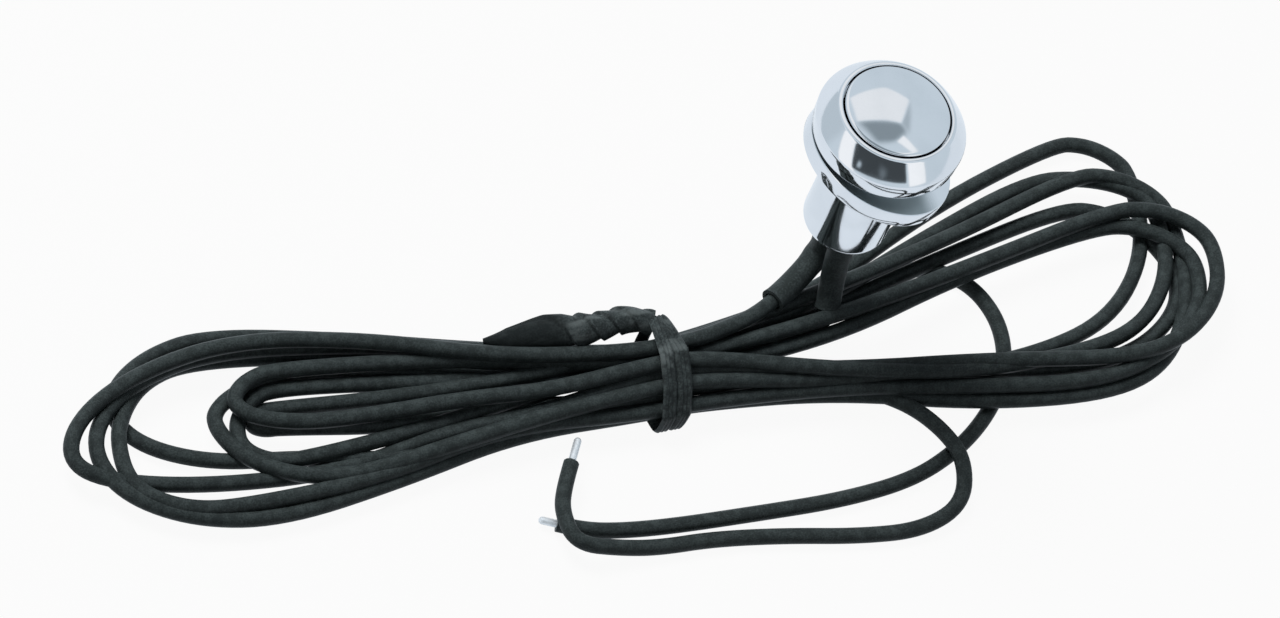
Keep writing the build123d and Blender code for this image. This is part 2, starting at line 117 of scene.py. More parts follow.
class Value:
    """A shader socket that reads like a number in an expression."""

    def __init__(self, graph: Graph, socket: bpy.types.NodeSocket) -> None:
        """Keep an output socket and the graph that it belongs to."""
        self.graph = graph
        self.socket = socket

    def _math(self, operation: str, first: object, second: object) -> Value:
        """The result of one Math node on two values or numbers."""
        return self.graph.value("ShaderNodeMath", 0, {"operation": operation}, {0: first, 1: second})

    def __add__(self, other: object) -> Value:
        """Sum."""
        return self._math("ADD", self, other)

    def __radd__(self, other: object) -> Value:
        """Sum with a number on the left."""
        return self._math("ADD", other, self)

    def __sub__(self, other: object) -> Value:
        """Difference."""
        return self._math("SUBTRACT", self, other)

    def __rsub__(self, other: object) -> Value:
        """Difference from a number."""
        return self._math("SUBTRACT", other, self)

    def __mul__(self, other: object) -> Value:
        """Product."""
        return self._math("MULTIPLY", self, other)

    def __rmul__(self, other: object) -> Value:
        """Product with a number on the left."""
        return self._math("MULTIPLY", other, self)

    def largest(self, other: object) -> Value:
        """The larger of two values."""
        return self._math("MAXIMUM", self, other)

    def size(self) -> Value:
        """The value without its sign."""
        return self._math("ABSOLUTE", self, 0.0)

    def root(self) -> Value:
        """The square root."""
        return self._math("SQRT", self, 0.0)

    def between(self, low: float, high: float) -> Value:
        """A soft step from 0 at low to 1 at high, which may be below low."""
        settings = {"interpolation_type": "SMOOTHSTEP"}
        return self.graph.value("ShaderNodeMapRange", 0, settings, {0: self, 1: low, 2: high})


class Graph:
    """A node tree with one method that adds any node."""

    def __init__(self, tree: bpy.types.NodeTree) -> None:
        """Empty a material's or the world's tree and start from that."""
        self.tree = tree
        tree.nodes.clear()

    def node(
        self, kind: str, settings: dict[str, object] | None = None, sockets: dict | None = None
    ) -> bpy.types.Node:
        """Add a node, set it up, then fill or link its inputs.

        Args:
            kind: The node's type.
            settings: Properties to set first; "stops" holds a ramp's positions and colours.
            sockets: Numbers, colours, values or sockets by input name or number.

        Returns:
            The new node.
        """
        node = self.tree.nodes.new(kind)
        for name, value in (settings or {}).items():
            if name == "stops":
                self._set_stops(node.color_ramp, value)
            else:
                setattr(node, name, value)
        for key, value in (sockets or {}).items():
            if isinstance(value, Value):
                self.tree.links.new(value.socket, node.inputs[key])
            elif isinstance(value, bpy.types.NodeSocket):
                self.tree.links.new(value, node.inputs[key])
            else:
                node.inputs[key].default_value = value
        return node

    @staticmethod
    def _set_stops(ramp: bpy.types.ColorRamp, stops: Sequence[tuple[float, tuple]]) -> None:
        """Give a ramp its stops.

        Args:
            ramp: The node's ramp.
            stops: Positions with their colours, at least two.
        """
        while len(ramp.elements) < len(stops):
            ramp.elements.new(1.0)
        for element, (position, colour) in zip(ramp.elements, stops):
            element.position = position
            element.color = (*colour, 1.0)

    def value(self, kind: str, output: str | int, settings: dict | None, sockets: dict | None) -> Value:
        """An output of a new node, by its name or number, as a value for expressions."""
        return Value(self, self.node(kind, settings, sockets).outputs[output])

    def place(self) -> bpy.types.NodeSocket:
        """Object coordinates, which are metres in the part's frame."""
        return self.node("ShaderNodeTexCoord").outputs["Object"]

    def noise(self, scale: float, detail: float = 2.0, stretch: Point = (1.0, 1.0, 1.0)) -> Value:
        """Smooth noise over Object coordinates.

        Args:
            scale: Features per metre.
            detail: Octaves of detail.
            stretch: Scale along each axis.

        Returns:
            The noise, about 0.5.
        """
        mapped = self.node("ShaderNodeMapping", None, {"Vector": self.place(), "Scale": stretch})
        sockets = {"Vector": mapped.outputs[0], "Scale": scale, "Detail": detail}
        return self.value("ShaderNodeTexNoise", "Fac", None, sockets)

    def along(self, vector: object, direction: Sequence[float]) -> Value:
        """How far a vector socket reaches along a direction of length one."""
        sockets = {0: vector, 1: tuple(direction)}
        return self.value("ShaderNodeVectorMath", "Value", {"operation": "DOT_PRODUCT"}, sockets)

    def mix(self, share: Value, first: object, second: object) -> bpy.types.NodeSocket:
        """Mix two colours or colour sockets, by the second one's share."""
        sockets = {"Factor": share, "A": first, "B": second}
        return self.node("ShaderNodeMix", {"data_type": "RGBA"}, sockets).outputs["Result"]


@dataclass(frozen=True)
class Finish:
    """A surface's plain and worn colours, its gloss and its grain.

    Mottle and grain are in features per metre.
    """

    name: str
    colour: Point
    worn: Point
    roughness: float
    roughness_spread: float
    mottle: float
    metallic: float = 0.0
    grain: float = 1500.0
    grain_depth: float = 0.02
    shine: float = 0.5

    MOTTLE_DETAIL = 4.0
    GRAIN_DETAIL = 3.0
    MOTTLE_SHARE = 0.45
    GRAIN_SHARE = 0.55
    WORN_RANGE = (0.4, 0.64)

    def material(self) -> bpy.types.Material:
        """The finish as a material.

        Returns:
            A material that is made once and then shared.
        """
        found = bpy.data.materials.get(self.name)
        if found:
            return found
        made = bpy.data.materials.new(self.name)
        made.use_nodes = True
        graph = Graph(made.node_tree)
        sockets = {"Metallic": self.metallic, "Specular IOR Level": self.shine}
        shader = graph.node("ShaderNodeBsdfPrincipled", None, sockets)
        self.dress(graph, shader)
        graph.node("ShaderNodeOutputMaterial", None, {"Surface": shader.outputs[0]})
        return made

    def dress(self, graph: Graph, shader: bpy.types.Node) -> None:
        """Fill the shader's inputs: mottled colour, uneven gloss and a fine grain.

        Args:
            graph: The material's graph.
            shader: Its main shader.
        """
        mottle = graph.noise(self.mottle, self.MOTTLE_DETAIL)
        grain = graph.noise(self.grain, self.GRAIN_DETAIL)
        uneven = mottle + grain - 2 * NOISE_MIDDLE
        self.link(graph, shader, "Base Color", self.tint(graph, mottle, grain))
        self.link(graph, shader, "Roughness", self.roughness + self.roughness_spread * uneven)
        self.bump(graph, shader, grain)

    def tint(self, graph: Graph, mottle: Value, grain: Value) -> bpy.types.NodeSocket:
        """The surface's colour, from its plain to its worn tone, by slow and fine noise."""
        worn = (self.MOTTLE_SHARE * mottle + self.GRAIN_SHARE * grain).between(*self.WORN_RANGE)
        return graph.mix(worn, (*self.colour, 1), (*self.worn, 1))

    @staticmethod
    def link(graph: Graph, shader: bpy.types.Node, name: str, what: object) -> None:
        """Link a value or socket to one of the shader's inputs."""
        graph.tree.links.new(what.socket if isinstance(what, Value) else what, shader.inputs[name])

    def bump(self, graph: Graph, shader: bpy.types.Node, height: Value) -> None:
        """Raise the surface by a height field, in which 1 stands for the grain's depth."""
        node = graph.node("ShaderNodeBump", None, {"Distance": self.grain_depth * MM, "Height": height})
        self.link(graph, shader, "Normal", node.outputs[0])


@dataclass(frozen=True)
class ShadedFace:
    """A flat ring-shaped face with painted shade between bezel and ring: its middle, its normal and its
    radii.

    Between two places along X, counted from the middle, the painted shade fades out again. By default they
    lie beyond the face.
    """

    middle: Point
    normal: Point
    inner: float
    outer: float
    # Where along X the painted shade fades out.
    shade_fades: tuple[float, float] = (90.0, 100.0)
    depth: float = 0.06
    fade: float = 0.05

    FULL_SHARE = 0.5

    def mask(self, graph: Graph) -> Value:
        """1 where the painted shade lies and 0 elsewhere.

        Args:
            graph: The material's graph.

        Returns:
            The mask.
        """
        sockets = {0: graph.place(), 1: tuple(metres(*self.middle))}
        off = graph.node("ShaderNodeVectorMath", {"operation": "SUBTRACT"}, sockets).outputs[0]
        rise = graph.along(off, Vector(self.normal).normalized())
        far = graph.value("ShaderNodeVectorMath", "Value", {"operation": "LENGTH"}, {0: off})
        radius = (far * far - rise * rise).root()
        level = rise.size().between(self.depth * MM, self.FULL_SHARE * self.depth * MM)
        inward = radius.between(self.inner * MM, (self.inner + self.fade) * MM)
        outward = radius.between(self.outer * MM, (self.outer - self.fade) * MM)
        start, end = self.shade_fades
        return level * inward * outward * graph.along(off, X_AXIS).between(end * MM, start * MM)


# The painted shade lies on the bezel's underside and on the ring's top face.
BEZEL_SEAT = ShadedFace(middle=(0.0, 0.0, 0.0), normal=(0.0, 0.0, 1.0), inner=4.85, outer=8.05)
RING_TOP = ShadedFace(
    middle=(0.2526, -0.2335, -2.9046),
    normal=(0.276, 0.029, 1.0),
    inner=5.4,
    outer=8.4,
    shade_fades=(1.5, 5.0),
)


@dataclass(frozen=True)
class ChromePlate(Finish):
    """Bright plating with faint haze and hairlines, with painted shade, darker and rougher, on the faces
    between bezel and ring.
    """

    hairline: float = 2600.0
    # Painted shade: the colour and roughness laid on the faces between bezel and ring, where shade falls.
    painted_shade: Point = (0.33, 0.375, 0.39)
    shade_roughness: float = 0.5
    shaded_faces: tuple[ShadedFace, ...] = (BEZEL_SEAT, RING_TOP)

    HAZE_DETAIL = 3.0
    HAZE_TINT = (0.4, 0.75)
    HAZE_GLOSS = (0.3, 0.8)
    LINE_DETAIL = 1.0
    LINE_STRETCH = (1.0, 1.0, 0.06)
    LINE_SHARE = 0.5

    def dress(self, graph: Graph, shader: bpy.types.Node) -> None:
        """Haze the plating in patches, cross it with fine hairlines and paint shade, darker and rougher, on
        the faces between bezel and ring.

        Args:
            graph: The material's graph.
            shader: Its main shader.
        """
        haze = graph.noise(self.mottle, self.HAZE_DETAIL)
        lines = graph.noise(self.hairline, self.LINE_DETAIL, self.LINE_STRETCH)
        # Where the painted shade lies, between bezel and ring.
        masks = [face.mask(graph) for face in self.shaded_faces]
        painted_shade = sum(masks[1:], masks[0])
        colour = graph.mix(haze.between(*self.HAZE_TINT), (*self.colour, 1), (*self.worn, 1))
        self.link(graph, shader, "Base Color", graph.mix(painted_shade, colour, (*self.painted_shade, 1)))
        uneven = haze.between(*self.HAZE_GLOSS) + self.LINE_SHARE * lines
        rough = self.roughness + self.roughness_spread * uneven
        self.link(graph, shader, "Roughness", rough + painted_shade * (self.shade_roughness - rough))
        self.bump(graph, shader, graph.noise(self.grain))


@dataclass(frozen=True)
class TieSkin(Finish):
    """The tie's plastic skin, with a painted highlight on the band's top corner, pale streaks along X, and
    painted shade on the pigtail's flattened end.
    """

    # Painted highlight: a pale spot on the band's top corner near the pigtail's root, where light falls.
    highlight_spot: Point = (-22.2, -7.6, -24.7)
    highlight_reach: float = 1.9
    highlight_and_streak_colour: Point = (0.12, 0.14, 0.142)
    # Pale streaks along X, from stretched noise.
    streak: float = 800.0
    streak_stretch: Point = (0.3, 1.0, 1.0)
    # Painted shade: past these places along X the pigtail's flattened end is darkened, where shade falls on
    # its upright face.
    inside: tuple[float, float] = (-30.5, -33.0)
    shaded_end_colour: Point = (0.008, 0.01, 0.0102)

    HIGHLIGHT_RANGE = (0.3, 0.6)
    STREAK_RANGE = (0.54, 0.72)
    STREAK_SHARE = 0.55
    SHADED_END_SHARE = 0.8

    def tint(self, graph: Graph, mottle: Value, grain: Value) -> bpy.types.NodeSocket:
        """The plain skin with its painted highlight, pale streaks along X and painted shade on the pigtail's
        end.

        Args:
            graph: The material's graph.
            mottle: Slow noise.
            grain: Fine noise.

        Returns:
            The colour.
        """
        sockets = {0: graph.place(), 1: tuple(metres(*self.highlight_spot))}
        gone = graph.value("ShaderNodeVectorMath", "Value", {"operation": "DISTANCE"}, sockets)
        # The painted highlight spot, joined below with the pale streaks.
        highlight_spot = gone.between(self.highlight_reach * MM, 0.0) * mottle.between(*self.HIGHLIGHT_RANGE)
        streaks = graph.noise(self.streak, stretch=self.streak_stretch).between(*self.STREAK_RANGE)
        pale = highlight_spot.largest(self.STREAK_SHARE * streaks)
        skin = graph.mix(pale, super().tint(graph, mottle, grain), (*self.highlight_and_streak_colour, 1))
        # Painted shade on the pigtail's flattened end.
        start, end = self.inside
        inside = graph.along(graph.place(), X_AXIS).between(start * MM, end * MM)
        return graph.mix(self.SHADED_END_SHARE * inside, skin, (*self.shaded_end_colour, 1))


CHROME = ChromePlate(
    name="bright_chrome",
    colour=(0.78, 0.8, 0.83),
    worn=(0.72, 0.745, 0.775),
    roughness=0.05,
    roughness_spread=0.06,
    mottle=160.0,
    metallic=1.0,
    grain=420.0,
    grain_depth=0.004,
)
PVC = Finish(
    name="satin_pvc",
    colour=(0.02, 0.025, 0.0253),
    worn=(0.042, 0.0523, 0.053),
    roughness=0.45,
    roughness_spread=0.15,
    mottle=900.0,
    grain=5600.0,
    shine=0.1,
)
SHRINK = Finish(
    name="shrunk_tube",
    colour=(0.022, 0.0274, 0.0276),
    worn=(0.044, 0.0545, 0.0555),
    roughness=0.5,
    roughness_spread=0.15,
    mottle=700.0,
    grain=4600.0,
    shine=0.1,
)
TIE_SKIN = TieSkin(
    name="tie_skin",
    colour=(0.018, 0.0222, 0.0227),
    worn=(0.05, 0.062, 0.063),
    roughness=0.4,
    roughness_spread=0.18,
    mottle=1200.0,
    grain=4600.0,
    grain_depth=0.015,
    shine=0.14,
)
TINNED = Finish(
    name="tinned_strands",
    colour=(0.92, 0.95, 0.98),
    worn=(0.82, 0.85, 0.88),
    roughness=0.52,
    roughness_spread=0.12,
    mottle=900.0,
    metallic=0.7,
    grain=1900.0,
    grain_depth=0.03,
)
SOLDER = Finish(
    name="soft_solder",
    colour=(0.72, 0.73, 0.74),
    worn=(0.6, 0.61, 0.62),
    roughness=0.28,
    roughness_spread=0.16,
    mottle=900.0,
    metallic=1.0,
)
INSULATOR = Finish(
    name="moulded_insulator",
    colour=(0.05, 0.043, 0.036),
    worn=(0.07, 0.06, 0.05),
    roughness=0.5,
    roughness_spread=0.14,
    mottle=300.0,
)
BRASS = Finish(
    name="stamped_brass",
    colour=(0.75, 0.58, 0.28),
    worn=(0.6, 0.45, 0.22),
    roughness=0.3,
    roughness_spread=0.14,
    mottle=400.0,
    metallic=1.0,
)
SPRING = Finish(
    name="drawn_steel",
    colour=(0.6, 0.61, 0.62),
    worn=(0.45, 0.46, 0.47),
    roughness=0.3,
    roughness_spread=0.14,
    mottle=500.0,
    metallic=1.0,
)


@dataclass
class Piece:
    """A finished mesh or curve on its way into the scene."""

    name: str
    body: Body
    finish: Finish
    slot: str
    replaces: tuple[str, ...]

    def mesh(self, shape: bmesh.types.BMesh, crease: float) -> bpy.types.Object:
        """Turn a bmesh into the piece's object.

        Args:
            shape: The shape, in metres in the part's frame; it is freed.
            crease: Edges sharper than this are shaded as creases.

        Returns:
            The object, dressed and riding on its body.
        """
        data = bpy.data.meshes.new(self.name)
        shape.to_mesh(data)
        shape.free()
        data.shade_smooth()
        data.set_sharp_from_angle(angle=math.radians(crease))
        return self.place(data)

    def place(self, data: bpy.types.ID) -> bpy.types.Object:
        """Link a mesh or a curve into the scene, dress it and tie it to the frame.

        Args:
            data: The mesh or curve.

        Returns:
            The object.
        """
        made = bpy.data.objects.new(self.name, data)
        bpy.context.scene.collection.objects.link(made)
        data.materials.append(self.finish.material())
        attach(made, self.body.value)
        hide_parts(*self.replaces)
        LOG.info("%s rides on %s and replaces %s", self.name, self.body.value, self.replaces)
        return made


def arc(start: tuple, middle: tuple, end: tuple, steps: int) -> Section:
    """Points on the circle through three (radius, height) points, in millimetres.

    Args:
        start: First point.
        middle: A point between.
        end: Last point.
        steps: How many stretches.

    Returns:
        The points after start, up to end.
    """
    a, b, c = Vector(start), Vector(middle), Vector(end)
    d = 2 * (a.x * (b.y - c.y) + b.x * (c.y - a.y) + c.x * (a.y - b.y))
    squares = [v.length_squared for v in (a, b, c)]
    cx = (squares[0] * (b.y - c.y) + squares[1] * (c.y - a.y) + squares[2] * (a.y - b.y)) / d
    cy = (squares[0] * (c.x - b.x) + squares[1] * (a.x - c.x) + squares[2] * (b.x - a.x)) / d
    centre = Vector((cx, cy))
    first, last = ((v - centre) for v in (a, c))
    turn = math.atan2(first.cross(last), first.dot(last))
    angle, radius = math.atan2(first.y, first.x), first.length
    stops = [angle + turn * i / steps for i in range(1, steps + 1)]
    return [(centre.x + radius * math.cos(t), centre.y + radius * math.sin(t)) for t in stops]


def turned(profile: Section, closed: bool, steps: int = 160) -> bmesh.types.BMesh:
    """Spin a (radius, height) profile about Z.

    Args:
        profile: Points in millimetres, in order.
        closed: Whether the last point joins the first.
        steps: Stretches round the full turn.

    Returns:
        The closed shape, normals outwards.
    """
    shape = bmesh.new()
    verts = [shape.verts.new(metres(r, 0, z)) for r, z in profile]
    pairs = list(zip(verts, verts[1:])) + ([(verts[-1], verts[0])] if closed else [])
    edges = [shape.edges.new(pair) for pair in pairs]
    bmesh.ops.spin(
        shape,
        geom=[*verts, *edges],
        cent=(0, 0, 0),
        axis=Z_AXIS,
        angle=math.tau,
        steps=steps,
        use_merge=True,
    )
    bmesh.ops.remove_doubles(shape, verts=shape.verts, dist=WELD_DISTANCE)
    bmesh.ops.recalc_face_normals(shape, faces=shape.faces)
    return shape


@dataclass
class Station:
    """A place along a route: where a section sits, how it is turned, and its size."""

    frame: Matrix
    wide: float = 1.0
    high: float = 1.0

    def matrix(self) -> Matrix:
        """The section's own plane to the part's frame, size included."""
        return self.frame @ Matrix.Diagonal((self.wide, self.high, 1.0, 1.0))


def frame_at(origin: Vector, across: Vector, along: Vector) -> Matrix:
    """A section's frame from its place and two directions.

    Args:
        origin: The section's middle.
        across: Roughly the section's first axis.
        along: The direction of travel.

    Returns:
        A frame whose third axis is along.
    """
    w = along.normalized()
    v = w.cross(across).normalized()
    u = v.cross(w)
    turn = Matrix((u, v, w)).transposed().to_4x4()
    return Matrix.Translation(origin) @ turn


def headings(points: Sequence[Vector]) -> list[Vector]:
    """The direction of travel at each point of a route, from the point before to the point after."""
    return [after - before for before, after in zip([points[0], *points], [*points[1:], points[-1]])]


def carried(points: Sequence[Vector], across: Vector) -> list[Matrix]:
    """Frames along a route that turn no more than the route does.

    Args:
        points: The route.
        across: The first frame's first axis.

    Returns:
        One frame for each point.
    """
    frames = []
    for point, along in zip(points, headings(points)):
        frame = frame_at(point, across, along)
        across = frame.to_3x3().col[0]
        frames.append(frame)
    return frames


def smooth_line(knots: Sequence[Vector], steps: int) -> list[Vector]:
    """A smooth line through the middles of the stretches between knots.

    Args:
        knots: The points that shape it; it starts at the first and ends at the last.
        steps: Points for each knot.

    Returns:
        Points along the line.
    """
    points = [knots[0]]
    for before, knot, after in zip(knots, knots[1:], knots[2:]):
        start = before if before is knots[0] else (before + knot) / 2
        end = after if after is knots[-1] else (knot + after) / 2
        for i in range(1, steps + 1):
            share = i / steps
            points.append(start.lerp(knot, share).lerp(knot.lerp(end, share), share))
    return points


def swept(ring: Section, stations: Sequence[Station], capped: bool = True) -> bmesh.types.BMesh:
    """Carry a ring along stations by extrusion.

    Args:
        ring: The section in its own plane, in millimetres, as a closed loop.
        stations: Where the section goes.
        capped: Whether both ends are closed.

    Returns:
        The shape, normals outwards.
    """
    shape = bmesh.new()
    before = stations[0].matrix()
    verts = [shape.verts.new(before @ metres(u, v, 0)) for u, v in ring]
    edges = [shape.edges.new(pair) for pair in zip(verts, [*verts[1:], verts[0]])]
    if capped:
        bmesh.ops.contextual_create(shape, geom=edges)
    for station in stations[1:]:
        made = bmesh.ops.extrude_edge_only(shape, edges=edges)["geom"]
        moved = [v for v in made if isinstance(v, bmesh.types.BMVert)]
        edges = [e for e in made if isinstance(e, bmesh.types.BMEdge)]
        after = station.matrix()
        bmesh.ops.transform(shape, matrix=after @ before.inverted(), verts=moved)
        before = after
    if capped:
        bmesh.ops.contextual_create(shape, geom=edges)
    bmesh.ops.recalc_face_normals(shape, faces=shape.faces)
    return shape


def circle(radius: float, count: int) -> Section:
    """The points of a round section, with its radius in millimetres."""
    turns = [math.tau * i / count for i in range(count)]
    return [(radius * math.cos(t), radius * math.sin(t)) for t in turns]


@dataclass
class Housing:
    """The bezel, web and barrel, turned as one piece and plated."""

    bezel_height: float = 4.5
    bezel_radius: float = 8.3
    widest: float = 2.07
    foot_radius: float = 8.2
    foot_round: float = 0.2
    lip_inner: float = 6.0
    lip_outer: float = 6.45
    crown: tuple[float, float] = (7.4387, 3.3335)
    widest_round: float = 0.6
    edge: float = 0.12
    web: float = 1.1
    stem_hole: float = 1.95
    barrel_radius: float = 4.75
    barrel_bottom: float = -16.55
    roll: float = 1.2
    lip: float = 0.6
    mouth: float = 3.45
    bore: float = 4.15
    barrel_middle: float = -8.0
    lip_break: tuple[float, float] = (0.05, 0.04)
    crease: float = 35.0

    LIP_STEPS = 4
    SLOPE_STEPS = 24
    WIDEST_STEPS = 8
    ROLL_STEPS = 12
    STEPS_LEFT_OFF = 4
    ROUND_SHARE = 0.293
    LIP_SHARE = 0.6
    FOOT_SHARE = 0.3

    def profile(self) -> Section:
        """The turned section, from the lip round the outside and back up the inside.

        Returns:
            Points in millimetres.
        """
        top, e = self.bezel_height, self.edge
        start, end = (self.lip_inner, top - e), (self.lip_inner + e, top)
        middle = (self.lip_inner + self.ROUND_SHARE * e, top - self.ROUND_SHARE * e)
        points = [start, *arc(start, middle, end, self.LIP_STEPS)]
        points += [(self.lip_outer - self.LIP_SHARE * e, top)]
        widest, foot = (self.bezel_radius, self.widest), (self.foot_radius, self.foot_round)
        slope = arc((self.lip_outer, top), self.crown, widest, self.SLOPE_STEPS)
        points += [(self.lip_outer + self.lip_break[0], top - self.lip_break[1])]
        points += slope[1 : -self.STEPS_LEFT_OFF]
        points += self.rounded(slope[-self.STEPS_LEFT_OFF - 1], widest, foot, self.WIDEST_STEPS)
        points += [foot, (foot[0] - self.FOOT_SHARE * foot[1], self.FOOT_SHARE * foot[1])]
        points += [(self.foot_radius - self.foot_round, 0.0), (self.barrel_radius, 0.0)]
        inner, low, half = self.barrel_radius - self.roll, self.barrel_bottom, self.roll * math.sqrt(0.5)
        side = (self.barrel_radius, low + self.roll)
        points += [(self.barrel_radius, self.barrel_middle), side]
        points += arc(side, (inner + half, low + self.roll - half), (inner, low), self.ROLL_STEPS)
        points += [(self.mouth + e, low), (self.mouth, low + e), (self.mouth, low + self.lip)]
        points += [(self.bore, low + self.lip), (self.bore, 0.0), (self.stem_hole, 0.0)]
        points += [(self.stem_hole, self.web), (self.lip_inner, self.web)]
        return points

    def rounded(self, before: tuple, corner: tuple, after: tuple, steps: int) -> Section:
        """The rounding of a corner of the section.

        Args:
            before: A point on the way in.
            corner: The sharp corner.
            after: A point on the way out.
            steps: How many stretches.

        Returns:
            Points on the round, in millimetres.
        """
        tip = Vector(corner)
        inward, outward = (Vector(before) - tip).normalized(), (Vector(after) - tip).normalized()
        half = inward.angle(outward) / 2
        reach = self.widest_round / math.tan(half)
        start, end = tip + inward * reach, tip + outward * reach
        centre = tip + (inward + outward).normalized() * self.widest_round / math.sin(half)
        middle = centre + (tip - centre).normalized() * self.widest_round
        return [tuple(start), *arc(tuple(start), tuple(middle), tuple(end), steps)]

    def build(self) -> None:
        """Make the housing's piece."""
        piece = Piece("plated_housing", Body.SWITCH, CHROME, "chrome_plate", ("switch_housing",))
        piece.mesh(turned(self.profile(), closed=True), self.crease)


@dataclass
class Button:
    """The domed cap and the stem under it."""

    radius: float = 5.8
    edge_z: float = 4.45
    edge: float = 0.2
    rise: float = 1.15
    bottom: float = 2.85
    stem: float = 1.9
    stem_end: float = -3.4
    chamfer: float = 0.2
    groove: float = 1.5
    groove_low: float = -0.65
    groove_high: float = -0.05
    crease: float = 50.0

    EDGE_STEPS = 8
    DOME_STEPS = 30

    def profile(self) -> Section:
        """The turned section, from the stem's foot to the middle of the dome.

        Returns:
            Points in millimetres.
        """
        dome, dome_z, lean = self.radius - self.edge, self.edge_z + self.edge, self.edge * math.sqrt(0.5)
        apex = dome_z + self.rise
        ball = (dome**2 + self.rise**2) / (2 * self.rise)
        half_z = apex - ball + math.sqrt(ball**2 - (dome / 2) ** 2)
        points = [(0.0, self.stem_end), (self.stem - self.chamfer, self.stem_end)]
        points += [(self.stem, self.stem_end + self.chamfer), (self.stem, self.groove_low)]
        points += [(self.groove, self.groove_low), (self.groove, self.groove_high)]
        points += [(self.stem, self.groove_high), (self.stem, self.bottom), (self.radius, self.bottom)]
        points += [(self.radius, self.edge_z)]
        points += arc(points[-1], (dome + lean, self.edge_z + lean), (dome, dome_z), self.EDGE_STEPS)
        points += arc((dome, dome_z), (dome / 2, half_z), (0.0, apex), self.DOME_STEPS)
        return points

    def build(self) -> None:
        """Make the cap's piece."""
        piece = Piece("domed_cap", Body.BUTTON, CHROME, "chrome_plate", ("button_cap",))
        piece.mesh(turned(self.profile(), closed=False), self.crease)


@dataclass
class LooseRing:
    """The flat ring that sits askew on the barrel."""

    radius: float = 8.55
    bore: float = 5.25
    thickness: float = 1.9
    bevel: float = 0.2
    middle: Point = (0.0, -0.26, -3.82)
    normal: Point = (0.276, 0.029, 1.0)
    crease: float = 35.0

    BEVEL_SHARE = 0.3

    def build(self) -> None:
        """Spin the ring's section and tip it into place."""
        h, b = self.thickness / 2, self.bevel
        lean = self.BEVEL_SHARE * b
        corners = []
        for r, z, inward, downward in (
            (self.bore, -h, 1, 1),
            (self.radius, -h, -1, 1),
            (self.radius, h, -1, -1),
            (self.bore, h, 1, -1),
        ):
            three = [(r + inward * b, z), (r + inward * lean, z + downward * lean), (r, z + downward * b)]
            corners += three[::-1] if inward * downward > 0 else three
        shape = turned(corners, closed=True)
        frame = frame_at(metres(*self.middle), Y_AXIS, Vector(self.normal))
        bmesh.ops.transform(shape, matrix=frame, verts=shape.verts)
        piece = Piece("askew_ring", Body.SWITCH, CHROME, "chrome_plate", ("loose_ring",))
        piece.mesh(shape, self.crease)


@dataclass(frozen=True)
class Slot:
    """Where one pass of a lead lies in the bundle under the tie."""

    y: float
    height: float


@dataclass(frozen=True)
class Bight:
    """One fold of a lead: its widest point on the far side, its tip, and its widest point on the near side.

    Each point is x, y and height over the floor. The leans are how far each side stands off the straight
    line from the tie to its widest point, a third and two thirds along it. The round at the tip swells,
    because the smooth curve passes inside its points.
    """

    far: Point
    tip: Point
    near: Point
    far_lean: tuple[float, float]
    near_lean: tuple[float, float]

    SWELL = 1.03
    ARC_SHARES = (0.0, 0.34, 0.68)

    def branch(self, neck_x: float, slot: Slot, widest: Point, lean: tuple[float, float]) -> list[Vector]:
        """The points of one side of the fold, from the tie to just short of the tip.

        Args:
            neck_x: Where the lead leaves the tie.
            slot: Its place under the tie.
            widest: The side's widest point.
            lean: How far the side stands off a straight line.

        Returns:
            Points in metres.
        """
        wide_x, wide_y, wide_h = widest
        points = []
        for step, off in enumerate(lean, 1):
            share = step / (len(lean) + 1)
            y = slot.y + share * (wide_y - slot.y) + off
            height = slot.height + share * (wide_h - slot.height)
            points.append(over_floor(neck_x + share * (wide_x - neck_x), y, height))
        for share in self.ARC_SHARES:
            angle = share * math.pi / 2
            x = wide_x + self.SWELL * (self.tip[0] - wide_x) * math.sin(angle)
            y = self.tip[1] + self.SWELL * (wide_y - self.tip[1]) * math.cos(angle)
            points.append(over_floor(x, y, wide_h + (self.tip[2] - wide_h) * share))
        return points

    def points(self, neck_x: float, far_slot: Slot, near_slot: Slot) -> list[Vector]:
        """The whole fold from the far slot round its tip to the near slot.

        Args:
            neck_x: Where the lead leaves and meets the tie again.
            far_slot: The pass on the far side.
            near_slot: The pass on the near side.

        Returns:
            Points in metres.
        """
        far = self.branch(neck_x, far_slot, self.far, self.far_lean)
        near = self.branch(neck_x, near_slot, self.near, self.near_lean)
        tip_x = self.near[0] + self.SWELL * (self.tip[0] - self.near[0])
        return [*far, over_floor(tip_x, *self.tip[1:]), *reversed(near)]


